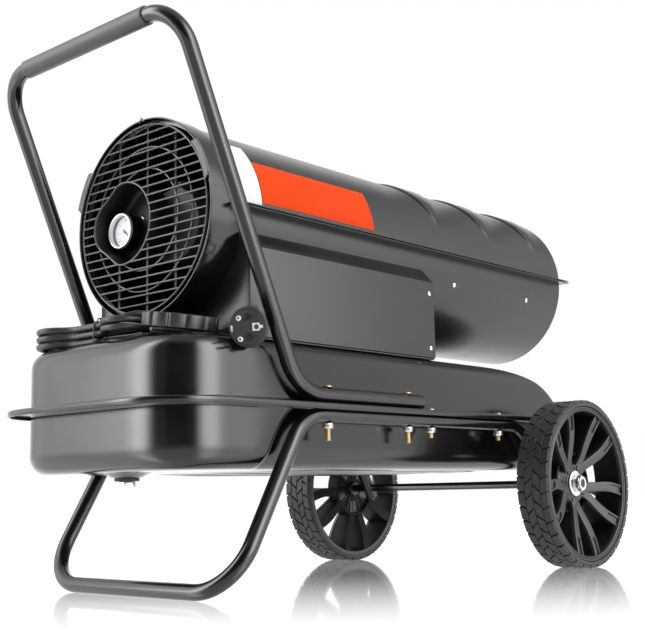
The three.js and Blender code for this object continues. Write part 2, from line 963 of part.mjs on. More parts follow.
function wheelBody() {
  const rim = turned(
    [
      [rimSeat - wheel.rimWall, wheelOuter - wheel.rimDrop / 2],
      [rimSeat - wheel.rimWall - wheel.rimDrop, wheelInner + wheel.width / 2],
      [rimSeat - wheel.rimWall, wheelInner + clearance],
      [rimSeat - clearance, wheelInner + clearance],
      [rimSeat - clearance, wheelOuter - wheel.rimDrop / 2],
      [rimSeat - wheel.rimWall, wheelOuter - wheel.rimDrop / 2],
    ],
    facets.fine,
  );
  const boreRadius = axle.radius + clearance;
  const hubBack = hubFace - wheel.hubLength;
  const hub = turned(
    [
      [boreRadius, hubBack],
      [wheel.hubRadius - wheel.rimWall, hubBack],
      [wheel.backRadius, hubFace - wheel.spokeDepth - wheel.backThick],
      [wheel.backRadius, hubFace - wheel.spokeDepth],
      [wheel.hubRadius, hubFace],
      [boreRadius, hubFace],
      [boreRadius, hubBack],
    ],
    facets.medium,
  );
  let body = join(rim, hub);
  const core = turned(discProfile(wheel.backRadius, wheelInner - overrun * 2, hubFace), facets.medium);
  const bore = turned(discProfile(boreRadius, hubBack - overrun, wheelOuter + overrun), facets.medium);
  for (let k = 0; k < wheel.spokePairs; k++) {
    const angle = radians(wheel.firstPair) + (k / wheel.spokePairs) * turn;
    for (const side of sides) {
      const spoke = plate(spokeOutline(side, wheel.spokeWidth / 2), wheel.spokeDepth);
      body = join(body, dished(spoke, wheelInner + wheel.spokeBack, 0).rotateZ(angle));
    }
  }
  const hollow = wheel.spokeWidth / 2 - wheel.spokeWall;
  for (let k = 0; k < wheel.spokePairs; k++) {
    const angle = radians(wheel.firstPair) + (k / wheel.spokePairs) * turn;
    for (const side of sides) {
      const channel = plate(spokeOutline(side, hollow), wheel.spokeDepth);
      const pocket = dished(channel, wheelInner - overrun, wheel.spokeWall).rotateZ(angle);
      body = cut(body, cut(pocket, core));
    }
  }
  return cut(body, bore);
}

const wheelGeometry = geometryOf(wheelBody());
const tyreGeometry = turned(
  [
    [rimSeat, wheelInner + clearance],
    [wheel.radius - wheel.treadRound, wheelInner],
    [wheel.radius, wheelInner + wheel.treadRound * 2],
    [wheel.radius, wheelOuter - wheel.treadRound * 2],
    [wheel.radius - wheel.treadRound, wheelOuter],
    [rimSeat, wheelOuter - clearance],
    [rimSeat, wheelInner + clearance],
  ],
  facets.fine,
);
const axleNut = join(
  hexagon(axle.nutFlats, 0, axle.nutHeight * 0.8),
  turned(discProfile(axle.nutFlats / 2, 0, axle.nutHeight), facets.small),
);

for (const side of sides) {
  const word = sideNames.get(side);
  const seated = (geometry) => {
    geometry.rotateX(quarter);
    if (side > 0) geometry.rotateZ(Math.PI);
    return geometry.translate(wheel.x, 0, axleHeight);
  };
  const boreRadius = axle.radius + clearance;
  const washer = turned(
    ringProfile(boreRadius, axle.washerRadius, washerSeat, washerSeat + axle.washerThick),
    facets.small,
  );
  const nutBore = turned(discProfile(boreRadius, -overrun, axle.nutHeight + overrun), facets.tiny);
  const nut = cut(axleNut, nutBore);
  piece("wheel_" + word, seated(wheelGeometry.clone()), "plastic");
  piece("tyre_" + word, seated(tyreGeometry.clone()), "rubber");
  piece("axle_washer_" + word, seated(washer), "zinc");
  piece("axle_nut_" + word, seated(geometryOf(nut).translate(0, 0, nutSeat)), "zinc");
}

// Shell: two pressed halves with a flange along each side and three raised bands on top.
const shellFace = shell.split / 2;
const arcSteps = 16;
const shellInside = (shell.radius - shell.wall) * Math.cos(Math.PI / 2 / arcSteps) - clearance;

function shellRing(direction, lengthwise, raised) {
  const outer = [];
  const inner = [];
  for (let k = 0; k <= arcSteps; k++) {
    const angle = Math.asin((shellFace + shell.wall) / shell.radius);
    const a = angle + ((Math.PI - 2 * angle) * k) / arcSteps;
    const radius = shell.radius + raised(a);
    const x = lengthwise(a);
    outer.push(point(x, radius * Math.cos(a), axisHeight + direction * radius * Math.sin(a)));
    const inAngle = Math.asin(shellFace / (shell.radius - shell.wall));
    const b = inAngle + ((Math.PI - 2 * inAngle) * k) / arcSteps;
    const inRadius = radius - shell.wall;
    inner.push(point(x, inRadius * Math.cos(b), axisHeight + direction * inRadius * Math.sin(b)));
  }
  const lip = shell.radius + shell.lip;
  const low = axisHeight + direction * shellFace;
  const high = low + direction * shell.wall;
  const end = lengthwise(0);
  const near = [point(end, lip, low), point(end, lip, high)];
  const far = [point(end, -lip, high), point(end, -lip, low)];
  return [...near, ...outer, ...far, ...inner.reverse()];
}

// A band is widest on top and tapers to a point above each flange.
function bandSpread(angle) {
  const from = radians(shell.bandEndAngle);
  const share = (angle - from) / (Math.PI - 2 * from);
  return share > 0 && share < 1 ? Math.sin(share * Math.PI) : 0;
}

{
  const rings = [shellRing(1, () => shell.front, () => 0)];
  for (let i = 0; i < shell.bands; i++) {
    const middle = shell.bandFirst + i * bandPitch;
    for (const [edge, height] of [
      [-1, 0],
      [-0.8, 1],
      [0.8, 1],
      [1, 0],
    ]) {
      rings.push(
        shellRing(
          1,
          (a) => middle + edge * shell.bandHalfWidth * (0.05 + 0.95 * bandSpread(a)),
          (a) => height * shell.bandRaise * Math.min(1, 2 * bandSpread(a)),
        ),
      );
    }
  }
  rings.push(shellRing(1, () => shell.rear, () => 0));
  piece("shell_upper", loft(rings), "black");
  const lower = loft([shell.front, shell.rear].map((x) => shellRing(-1, () => x, () => 0)));
  const holeLow = axisHeight - shell.radius - overrun;
  const lineHole = upright(cabinet.lineHole / 2, fuel.pickupX, 0, holeLow, axisHeight, facets.tiny);
  piece("shell_lower", cut(lower, lineHole), "black");
}

// Intake collar: a ring that carries the guard, with a sleeve under the lower shell half.
const collarInner = guard.wire / 2 + clearance;
const guardRadius = shell.radius - collar.seatWall - clearance * 2 - guard.wire;
const lobeCentre = guardRadius - guard.lobeInset - guard.lobeRadius;
const toShellAxis = (geometry) => alongX(geometry).translate(0, 0, axisHeight);
const collarOuter = shell.radius + clearance * 2 + collar.wall;
{
  const sleeve = toShellAxis(
    turned(ringProfile(shell.radius + clearance * 2, collarOuter, shell.front - clearance, collar.back), facets.fine),
  );
  const lowerOnly = block(
    shell.front - overrun,
    collar.back + overrun,
    -collarOuter - overrun,
    collarOuter + overrun,
    axisHeight - collarOuter - overrun,
    axisHeight - shell.lip,
  );
  const ring = toShellAxis(
    turned(
      ringProfile(guardRadius + collarInner, collarOuter, collar.front, shell.front - clearance),
      facets.fine,
    ),
  );
  const clip = (angle) => {
    const half = collar.clipWidth / 2;
    const tab = block(
      collar.front - collar.clipThick,
      collar.front + collar.clipDepth,
      -half,
      half,
      collarOuter - clearance * 2,
      collarOuter + collar.clipThick,
    );
    return tab.rotateX(radians(angle)).translate(0, 0, axisHeight);
  };
  const notch = (y, z) =>
    block(
      collar.front - overrun,
      collar.front + collar.notchDepth,
      y - collar.notchWidth / 2,
      y + collar.notchWidth / 2,
      z - collar.notchWidth / 2,
      z + collar.notchWidth / 2,
    );
  const latch = block(
    shell.front - collar.latchWidth,
    shell.front,
    -collarOuter,
    0,
    axisHeight - shell.radius / 2,
    axisHeight - shell.radius / 2 + collar.latchWidth,
  );
  const body = cut(
    join(ring, overlap(sleeve, lowerOnly), ...[64, -64].map(clip)),
    notch(-collarOuter, axisHeight),
    notch(collarOuter, axisHeight),
    notch(0, axisHeight + collarOuter),
    latch,
  );
  piece("intake_collar", body, "black");
}

// Guard: welded wires with a keyhole, and a pressed keyhole cup that holds the gauge.
{
  const half = guard.wire / 2;
  const outer = guardRadius;
  const face = collar.front;
  const bars = [];
  const count = Math.floor((outer * 2) / guard.pitch);
  for (let i = 1; i < count; i++) {
    const height = -outer + (i * outer * 2) / count;
    const reach = Math.sqrt(outer * outer - height * height);
    bars.push(block(face, face + guard.wire, -reach, reach, height - half, height + half));
  }
  const behind = face + guard.wire * guard.weldShare;
  const uprights = [guard.firstUpright, guard.secondUpright, guard.thirdUpright].map((y) => {
    const reach = Math.sqrt(outer * outer - y * y) - guard.wire;
    return block(behind, behind + guard.wire, y - half, y + half, -reach, reach);
  });
  const ringAt = (radius, low, steps) =>
    alongX(turned(ringProfile(radius - half, radius + half, low, low + guard.wire), steps));
  const keyhole = (grow, from, to) => {
    const large = alongX(turned(discProfile(guard.recessRadius + grow, from, to), facets.medium));
    const small = alongX(turned(discProfile(guard.lobeRadius + grow, from, to), facets.small));
    return join(
      large.translate(0, lobeCentre - guard.recessOffset, guard.recessRise),
      small.translate(0, lobeCentre, guard.recessRise),
    );
  };
  const floor = face + guard.recessDepth;
  const cup = cut(
    keyhole(guard.recessWall, face, floor + guard.recessWall),
    keyhole(0, face - overrun, floor),
  );
  const rings = [guard.innerRing, guard.outerRing].map((radius) => ringAt(radius, behind, facets.medium));
  const wires = join(ringAt(outer, face, facets.fine), ...bars, ...rings, ...uprights);
  const room = keyhole(guard.recessWall + clearance, face - overrun, floor + overrun);
  piece("fan_guard", geometryOf(cut(wires, room)).translate(0, 0, axisHeight), "wire");
  piece("gauge_recess", geometryOf(cup).translate(0, 0, axisHeight), "wire");
}

// Gauge in the recess: a round case with a bezel, a lens and a needle on its pin.
{
  const back = collar.front + guard.recessDepth - clearance;
  const front = back - gauge.depth;
  const toGauge = (shape) => alongX(shape).translate(0, lobeCentre, axisHeight - gauge.drop);
  const dial = front + gauge.depth / 2;
  const rebate = gauge.radius - gauge.bezel;
  const caseProfile = [
    [0, dial],
    [rebate - clearance, dial],
    [rebate - clearance, front + gauge.lensSet + gauge.lensThick],
    [rebate + clearance, front + gauge.lensSet + gauge.lensThick],
    [rebate + clearance, front],
    [gauge.radius, front],
    [gauge.radius, back],
    [0, back],
  ];
  piece("gauge_case", toGauge(turned(caseProfile, facets.medium)), "steel");
  const lensBack = front + gauge.lensSet + gauge.lensThick - clearance;
  const lens = turned(discProfile(rebate, front + clearance, lensBack), facets.medium);
  piece("gauge_lens", toGauge(lens), "glass");
  const needleBack = dial - clearance;
  const needleFront = needleBack - clearance * 3;
  const pin = turned(discProfile(gauge.pinRadius, needleFront - clearance * 2, needleBack), facets.tiny);
  const hand = plate(
    [
      [-gauge.needleWidth, -gauge.needleTail],
      [gauge.needleWidth, -gauge.needleTail],
      [gauge.needleWidth / 3, gauge.needleLength],
      [-gauge.needleWidth / 3, gauge.needleLength],
    ],
    needleBack - needleFront,
  ).rotateZ(radians(-140)).translate(0, 0, needleFront);
  piece("gauge_needle", toGauge(geometryOf(join(pin, hand))), "plastic");
}

// Blower: a motor on a bracket in the lower shell, an air pump at its back and the fan at its front.
const motorFront = motor.back + motor.length;
{
  const shaftHole = turned(
    discProfile(motor.shaftRadius + clearance, motorFront - motor.capLength, motorFront + overrun),
    facets.tiny,
  );
  const body = turned(
    [
      [0, motor.back],
      [motor.radius * 0.6, motor.back],
      [motor.radius, motor.back + motor.capLength],
      [motor.radius, motorFront - motor.capLength],
      [motor.radius * 0.6, motorFront],
      [0, motorFront],
    ],
    facets.medium,
  );
  piece("motor", geometryOf(cut(body, shaftHole)).applyMatrix4(shellAxis()), "satin");
  const shaft = turned(
    discProfile(motor.shaftRadius, motorFront - motor.capLength + clearance, fan.back + fan.hubLength + overrun),
    facets.tiny,
  );
  piece("motor_shaft", shaft.applyMatrix4(shellAxis()), "steel");
  const pumpBack = motor.back - clearance - pump.length;
  const pumpBody = turned(discProfile(pump.radius, pumpBack, motor.back - clearance), facets.medium);
  const port = upright(pump.portRadius, 0, 0, 0, pump.radius + pump.portLength, facets.tiny);
  const seatedPort = port.translate(pumpBack + pump.length / 2, 0, 0);
  const pumpWithPort = geometryOf(join(alongX(pumpBody), seatedPort));
  piece("air_pump", pumpWithPort.translate(0, 0, axisHeight), "steel");
  const saddle = motor.radius + clearance;
  const inside = shellInside;
  const outline = [];
  const steps = 10;
  const legAngle = radians(motor.legSpread);
  for (let k = 0; k <= steps; k++) {
    const a = -quarter - legAngle + (2 * legAngle * k) / steps;
    outline.push([saddle * Math.cos(a), saddle * Math.sin(a)]);
  }
  const footAngle = legAngle - motor.legThick / inside;
  const foot = (a) => [inside * Math.cos(a), inside * Math.sin(a)];
  const web = (a) => [(saddle + motor.legThick) * Math.cos(a), (saddle + motor.legThick) * Math.sin(a)];
  outline.push(foot(-quarter + legAngle), foot(-quarter + footAngle));
  for (let k = 0; k <= steps; k++) outline.push(web(-quarter + footAngle - (2 * footAngle * k) / steps));
  outline.push(foot(-quarter - footAngle), foot(-quarter - legAngle));
  const bracketX = motor.back + (motor.length - motor.bracketLength) / 2;
  const bracket = standing(outline, bracketX, motor.bracketLength);
  piece("motor_bracket", bracket.translate(0, 0, axisHeight), "black");
}

function shellAxis() {
  return new THREE.Matrix4().makeRotationY(quarter).setPosition(0, 0, axisHeight);
}

{
  const blade = (turnShare) => {
    const rings = [];
    const spans = [0, 0.35, 0.7, 1];
    for (const share of spans) {
      const radius = fan.hubRadius - sheet + (fan.radius - fan.hubRadius + sheet) * share;
      const pitch = radians(52 - 24 * share);
      const reach = fan.bladeDepth * (0.75 + 0.45 * share);
      const chord = [-0.5, 0, 0.5];
      const arc = (t, off) => {
        const along = reach * t;
        const bow = fan.bladeDepth * 0.1 * (1 - 4 * t * t) + off;
        const across = along * Math.cos(pitch) - bow * Math.sin(pitch);
        const depth = along * Math.sin(pitch) + bow * Math.cos(pitch);
        const angle = across / radius + turnShare * turn;
        return point(radius * Math.cos(angle), radius * Math.sin(angle), depth);
      };
      rings.push([
        ...chord.map((t) => arc(t, fan.bladeThick / 2)),
        ...chord.map((t) => arc(-t, -fan.bladeThick / 2)),
      ]);
    }
    return loft(rings).translate(0, 0, fan.back + fan.hubLength / 2);
  };
  const hub = turned(discProfile(fan.hubRadius, fan.back, fan.back + fan.hubLength), facets.small);
  let body = asSolid(hub);
  for (let k = 0; k < fan.blades; k++) body = join(body, blade(k / fan.blades));
  const bore = turned(
    discProfile(motor.shaftRadius + clearance, fan.back - overrun, fan.back + fan.hubLength + overrun),
    facets.tiny,
  );
  piece("fan", geometryOf(cut(body, bore)).applyMatrix4(shellAxis()), "steel");
}

// Burner: a slotted head with the nozzle, a chamber on feet and a cone with a baffle at the outlet.
{
  const chamberFront = burner.front + burner.headThick + clearance;
  const headBack = burner.front + burner.headThick;
  let head = asSolid(turned(discProfile(burner.radius, burner.front, headBack), facets.round));
  for (let k = 0; k < burner.slots; k++) {
    const half = burner.slotSize / 2;
    const slot = block(
      burner.slotRadius - half,
      burner.slotRadius + half,
      -half,
      half,
      burner.front - overrun,
      burner.front + burner.headThick + overrun,
    ).rotateZ((k / burner.slots) * turn);
    head = cut(head, slot);
  }
  const nozzleHole = turned(
    discProfile(burner.nozzleRadius + clearance, burner.front - overrun, headBack + overrun),
    facets.small,
  );
  piece("burner_head", geometryOf(cut(head, nozzleHole)).applyMatrix4(shellAxis()), "steel");
  const nozzle = turned(
    [
      [0, burner.front - burner.nozzleLength / 3],
      [burner.nozzleRadius, burner.front - burner.nozzleLength / 3],
      [burner.nozzleRadius, burner.front + burner.nozzleLength / 3],
      [burner.nozzleRadius / 3, burner.front + burner.nozzleLength * 0.6],
      [0, burner.front + burner.nozzleLength * 0.6],
    ],
    facets.small,
  );
  piece("nozzle", nozzle.applyMatrix4(shellAxis()), "steel");
  const inner = burner.radius - burner.wall;
  const pipe = turned(ringProfile(inner, burner.radius, chamberFront, burner.chamberRear), facets.round);
  const footReach = shellInside;
  let chamber = asSolid(pipe);
  const firstFoot = chamberFront + burner.footInset;
  const lastFoot = burner.chamberRear - burner.footInset - burner.footLength;
  for (const start of [firstFoot, lastFoot]) {
    for (const angle of [0, 120, 240]) {
      const foot = block(
        inner + burner.wall / 2,
        footReach,
        -burner.footThick / 2,
        burner.footThick / 2,
        start,
        start + burner.footLength,
      ).rotateZ(radians(angle));
      chamber = join(chamber, foot);
    }
  }
  piece("combustion_chamber", geometryOf(chamber).applyMatrix4(shellAxis()), "steel");
  const coneBack = burner.chamberRear + clearance;
  const coneFront = coneBack + burner.coneLength;
  const cone = turned(
    [
      [burner.radius, coneBack],
      [burner.coneMouth + burner.wall, coneFront],
      [burner.coneMouth, coneFront],
      [burner.radius - burner.wall, coneBack],
      [burner.radius, coneBack],
    ],
    facets.round,
  );
  const baffleBack = coneBack - burner.baffleGap;
  const baffle = turned(discProfile(burner.baffleRadius, baffleBack, baffleBack + sheet), facets.medium);
  let outlet = asSolid(cone);
  for (const angle of [30, 150, 270]) {
    const leg = block(
      burner.baffleRadius - overrun,
      burner.coneMouth + (burner.radius - burner.coneMouth) * 0.7,
      -burner.footThick,
      burner.footThick,
      baffleBack,
      coneBack + burner.coneLength * 0.3,
    ).rotateZ(radians(angle));
    outlet = join(outlet, leg);
  }
  piece("outlet_cone", geometryOf(join(outlet, baffle)).applyMatrix4(shellAxis()), "steel");
}

// Console: a folded box between tank and shell with a cover on each side.
// The controls are on the far cover.
const consoleBottom = tankTop + clearance;
const cabinetHalfWidth = waistHalfWidth - cabinet.inset;
const shoulderHeight = axisHeight - cabinet.shoulderDrop;
const chamferHeight = axisHeight - cabinet.chamferDrop;
const arch = (grow) => {
  const profile = discProfile(shell.radius + grow, cabinet.front - overrun, cabinet.rear + overrun);
  return toShellAxis(turned(profile, facets.fine));
};
const consoleOutline = (inset, low) => [
  [-cabinetHalfWidth + inset, low],
  [cabinetHalfWidth - inset, low],
  [cabinetHalfWidth - inset, shoulderHeight],
  [cabinetHalfWidth - cabinet.chamferWidth - inset, chamferHeight],
  [-cabinetHalfWidth + cabinet.chamferWidth + inset, chamferHeight],
  [-cabinetHalfWidth + inset, shoulderHeight],
];
{
  const inset = sheet + clearance;
  const front = standing(consoleOutline(inset, consoleBottom), cabinet.front, sheet);
  const rear = standing(consoleOutline(inset, consoleBottom), cabinet.rear - sheet, sheet);
  const base = block(
    cabinet.front,
    cabinet.rear,
    -cabinetHalfWidth + inset,
    cabinetHalfWidth - inset,
    consoleBottom,
    consoleBottom + sheet,
  );
  const holeRadius = cord.glandRadius + clearance;
  const cordHole = alongX(
    turned(discProfile(holeRadius, cabinet.front - overrun, cabinet.front + overrun), facets.tiny),
  ).translate(0, cord.glandY, tankTop + cord.glandRise);
  const lineHole = upright(
    fuel.pickupFlange + clearance,
    fuel.pickupX,
    0,
    consoleBottom - overrun,
    consoleBottom + overrun,
    facets.small,
  );
  piece("console_box", cut(join(front, rear, base), arch(clearance * 2), cordHole, lineHole), "black");
}
const controlHeight = (consoleBottom + shoulderHeight) / 2 + controls.rise;
const controlPlace = (k) => controls.x + k * controls.spread;
function sideCover(side) {
  const outer = consoleOutline(0, consoleBottom + cabinet.foot).slice(1, 4);
  const inner = consoleOutline(sheet, consoleBottom + cabinet.foot).slice(1, 4).reverse();
  const outline = [...outer, ...inner].map(([y, z]) => [side * y, z]);
  return cut(standing(outline, cabinet.front, cabinet.rear - cabinet.front), arch(clearance * 2));
}
{
  piece("side_cover_near", sideCover(-1), "black");
  const cover = cabinetHalfWidth;
  const through = (radius, x) =>
    alongY(turned(discProfile(radius + clearance, cover - overrun, cover + overrun), facets.small)).translate(
      x,
      0,
      controlHeight,
    );
  const rockerHole = block(
    controlPlace(-1) - controls.rockerLength / 2 - clearance,
    controlPlace(-1) + controls.rockerLength / 2 + clearance,
    cover - overrun,
    cover + overrun,
    controlHeight - controls.rockerWidth / 2 - clearance,
    controlHeight + controls.rockerWidth / 2 + clearance,
  );
  const knobHole = through(controls.knobStem, controlPlace(0));
  const lampHole = through(controls.lampRadius, controlPlace(1));
  piece("side_cover_far", cut(sideCover(1), knobHole, lampHole, rockerHole), "black");
  const stemProfile = discProfile(controls.knobStem, cover - sheet * 2, cover + clearance * 2);
  const stem = turned(stemProfile, facets.tiny);
  const dial = turned(
    [
      [0, cover + clearance],
      [controls.knobRadius, cover + clearance],
      [controls.knobRadius - clearance * 2, cover + controls.knobDepth],
      [0, cover + controls.knobDepth],
    ],
    facets.medium,
  );
  const groove = block(
    -clearance * 3,
    clearance * 3,
    controls.knobRadius / 3,
    controls.knobRadius + overrun,
    cover + controls.knobDepth - clearance * 3,
    cover + controls.knobDepth + overrun,
  );
  const knob = geometryOf(cut(join(stem, dial), groove));
  piece("thermostat_knob", alongY(knob).translate(controlPlace(0), 0, controlHeight), "plastic");
  const lamp = turned(
    [
      [0, cover - sheet * 2],
      [controls.lampRadius, cover - sheet * 2],
      [controls.lampRadius, cover + clearance],
      [controls.lampRadius + controls.bezelLip, cover + clearance],
      [controls.lampRadius + controls.bezelLip, cover + controls.lampProud / 2],
      [controls.lampRadius / 2, cover + controls.lampProud],
      [0, cover + controls.lampProud],
    ],
    facets.small,
  );
  piece("power_lamp", alongY(lamp).translate(controlPlace(1), 0, controlHeight), "red");
  const halfLength = controls.rockerLength / 2 - clearance;
  const tip = halfLength * Math.tan(radians(controls.rockerTilt));
  const rocker = plate(
    [
      [-halfLength + tip, cover - sheet - controls.rockerProud],
      [halfLength - tip, cover - sheet - controls.rockerProud],
      [halfLength, cover + controls.rockerProud / 2 - tip / 2],
      [0, cover + controls.rockerProud / 2],
      [-halfLength, cover + controls.rockerProud / 2 + tip],
    ],
    controls.rockerWidth - clearance * 2,
  );
  rocker.translate(0, 0, -controls.rockerWidth / 2 + clearance);
  piece("rocker_switch", rocker.translate(controlPlace(-1), 0, controlHeight), "red");
  const boardY = cover - controls.boardSetback;
  const shellRise = Math.sqrt(Math.max(0, shell.radius * shell.radius - boardY * boardY));
  piece(
    "circuit_board",
    block(
      controls.x - controls.boardLength / 2,
      controls.x + controls.boardLength / 2,
      boardY,
      boardY + controls.boardThick,
      consoleBottom + sheet + clearance,
      axisHeight - shellRise - controls.boardGap,
    ),
    "board",
  );
}

// Fuel line: a pick-up with its filter in the tank, and a pipe up to the nozzle.
{
  const flangeLow = tankTop + clearance;
  const flangeHigh = flangeLow + fuel.pickupFlangeThick;
  const foot = tankBottom + sheet + fuel.pickupFoot;
  const pickup = turned(
    [
      [0, foot],
      [fuel.filterRadius, foot],
      [fuel.filterRadius, foot + fuel.filterHeight],
      [fuel.pickupRadius, foot + fuel.filterHeight],
      [fuel.pickupRadius, flangeLow],
      [fuel.pickupFlange, flangeLow],
      [fuel.pickupFlange, flangeHigh],
      [fuel.pickupRadius, flangeHigh],
      [fuel.pickupRadius, flangeHigh + fuel.stubHeight],
      [0, flangeHigh + fuel.stubHeight],
    ],
    facets.tiny,
  );
  piece("fuel_pickup", pickup.translate(fuel.pickupX, 0, 0), "steel");
  const low = flangeHigh + fuel.stubHeight + clearance;
  const nozzleBack = burner.front - burner.nozzleLength / 3 - clearance;
  const corners = [
    point(fuel.pickupX, 0, low),
    point(fuel.pickupX, 0, axisHeight),
    point(nozzleBack, 0, axisHeight),
  ];
  const line = swept(section(fuel.pickupRadius, 8), bentStations(corners, [fuel.pickupRadius * 2], 4));
  piece("fuel_line", line, "steel");
}

// Mains lead: a tapered gland, the lead to the hank, the tied hank and the stretch to the plug.
const hankLow = tankTop + clearance * 2 + cord.tieThick + cord.radius;
{
  const outside = cabinet.front - clearance;
  const gland = turned(
    [
      [0, outside - cord.glandLength],
      [cord.glandNose, outside - cord.glandLength],
      [cord.glandRadius, outside - cord.glandFlangeThick],
      [cord.glandFlange, outside - cord.glandFlangeThick],
      [cord.glandFlange, outside],
      [cord.glandRadius, outside],
      [cord.glandRadius, cabinet.front + sheet + clearance],
      [cord.glandFlange, cabinet.front + sheet + clearance],
      [cord.glandFlange, cabinet.front + sheet + clearance + cord.glandFlangeThick],
      [0, cabinet.front + sheet + clearance + cord.glandFlangeThick],
    ],
    facets.tiny,
  );
  piece("cord_gland", alongX(gland).translate(0, cord.glandY, tankTop + cord.glandRise), "rubber");
}

// The hank's centre line in plan: round folds at both ends, drawn in where the tie holds it.
function foldGeometry(foldAt, direction) {
  const lean = Math.acos((cord.waistOffset + cord.swayRadius) / (cord.swayRadius + cord.foldRadius));
  const from = foldAt - direction * cord.foldRadius * Math.sin(lean);
  const waist = from - direction * cord.swayRadius * Math.sin(lean);
  return { lean, waist, foldAt, direction };
}

function foldPath(fold, heading) {
  const lengths = {
    run: Math.abs(fold.waist - cord.tieY),
    sway: cord.swayRadius * fold.lean,
    turnRound: cord.foldRadius * (Math.PI + 2 * fold.lean),
  };
  const total = 2 * lengths.run + 2 * lengths.sway + lengths.turnRound;
  const half = (distance) => {
    if (distance <= lengths.run) {
      return [cord.waistOffset, cord.tieY + fold.direction * distance];
    }
    if (distance <= lengths.run + lengths.sway) {
      const a = (distance - lengths.run) / cord.swayRadius;
      return [
        cord.waistOffset + cord.swayRadius * (1 - Math.cos(a)),
        fold.waist + fold.direction * cord.swayRadius * Math.sin(a),
      ];
    }
    const a = (distance - lengths.run - lengths.sway) / cord.foldRadius - fold.lean;
    return [cord.foldRadius * Math.cos(a), fold.foldAt + fold.direction * cord.foldRadius * Math.sin(a)];
  };
  const at = (share) => {
    const distance = share * total;
    const [across, along] = distance <= total / 2 ? half(distance) : half(total - distance);
    const side = distance <= total / 2 ? heading : -heading;
    return [cord.hankX + side * across, along];
  };
  return { at, total };
}

const farFold = foldPath(foldGeometry(cord.farFold, 1), 1);
const nearFold = foldPath(foldGeometry(cord.nearFold, -1), -1);
const hankPoints = [];
const farSteps = 14;
const nearSteps = 11;
const climbShare = 0.6;
const ease = (share) => share * share * (3 - 2 * share);
for (let layer = 0; layer < 3; layer++) {
  const level = hankLow + layer * cord.layerStep;
  for (let k = layer ? 1 : 0; k <= farSteps; k++) {
    const [x, y] = farFold.at(k / farSteps);
    hankPoints.push(point(x, y, level));
  }
  if (layer === 2) break;
  for (let k = 1; k <= nearSteps; k++) {
    const [x, y] = nearFold.at(k / nearSteps);
    const climbed = Math.min(1, k / nearSteps / climbShare);
    hankPoints.push(point(x, y, level + cord.layerStep * ease(climbed)));
  }
}
const hankStart = point(cord.hankX + cord.waistOffset, cord.tieY - 2 * cord.radius, hankLow);
const hankHigh = hankLow + 2 * cord.layerStep;
const hankEnd = point(cord.hankX - cord.waistOffset, cord.tieY - 2 * cord.radius, hankHigh);
hankPoints.unshift(hankStart);
hankPoints.push(hankEnd);

// Each station faces the way from the one before it to the one after it.
function linked(points) {
  return points.map((at, i) => {
    const before = points[Math.max(i - 1, 0)];
    const after = points[Math.min(i + 1, points.length - 1)];
    return { at, along: after.clone().sub(before).normalize() };
  });
}

// The least gap between two turns of a cord, measured between points further apart along it than a fold.
function leastGap(points, radius, apart) {
  const travelled = [0];
  for (let i = 1; i < points.length; i++) {
    travelled.push(travelled[i - 1] + points[i].distanceTo(points[i - 1]));
  }
  let least = Infinity;
  const nearest = new THREE.Vector3();
  for (let i = 0; i < points.length; i++) {
    for (let j = 0; j + 1 < points.length; j++) {
      if (Math.abs(travelled[i] - travelled[j]) < apart) continue;
      if (Math.abs(travelled[i] - travelled[j + 1]) < apart) continue;
      new THREE.Line3(points[j], points[j + 1]).closestPointToPoint(points[i], true, nearest);
      least = Math.min(least, nearest.distanceTo(points[i]) - 2 * radius);
    }
  }
  return { least, length: travelled[travelled.length - 1] };
}

{
  const measured = leastGap(hankPoints, cord.radius, 4 * cord.radius * 2);
  const worded = measured.least.toFixed(2) + " mm, length " + measured.length.toFixed(0) + " mm";
  console.log("hank: least gap to itself " + worded);
  piece("cord_hank", swept(section(cord.radius, 6), linked(hankPoints)), "rubber");
}

// The stretch from the gland to the hank's lowest strand, and the one from its top strand to the plug,
// with heights above the tank's top.
const leadRoute = [
  [-272.6, -30, 10.4],
  [-279.4, -29.8, 9.9],
  [-287, -26.5, 7.4],
  [-297, -19, 4.7],
  [-304.8, -10, 4],
  [-310, 1, 4.4],
  [-311.8, 12.7, 4.9],
  [-311.8, 19.7, 4.9],
];
const plugRoute = [
  [-320.2, 19.7, 20.3],
  [-320.2, 12.7, 20.3],
  [-318.7, 0, 22.6],
  [-313.5, -12, 26.8],
  [-304, -21.5, 28.8],
  [-292, -27.5, 26.9],
  [-281, -33.5, 22],
  [-271.5, -41, 16.5],
  [-263.5, -50, 12],
  [-257.5, -60.5, 9],
  [-254.5, -72, 7.6],
  [-255, -84, 7.2],
  [-258.6, -95, 7.1],
  [-261.6, -101.8, 7],
  [-263.4, -107.6, 7],
];
const routePoints = (route) => route.map(([x, y, rise]) => point(x, y, tankTop + rise));

// Plug: a round face with two pins and an earth hole, a tapered body and a ribbed relief at its side.
const plugAxis = point(0.908, 0.367, 0.2).normalize();
const plugExit = point(0.25, 0.965, 0.05).normalize();
const plugFace = point(plug.faceX, plug.faceY, tankTop + plug.faceRise);
const reliefRoot = plugFace.clone().addScaledVector(plugAxis, plug.exitDepth);
const reliefEnd = reliefRoot.clone().addScaledVector(plugExit, plug.reliefStart + plug.reliefLength);

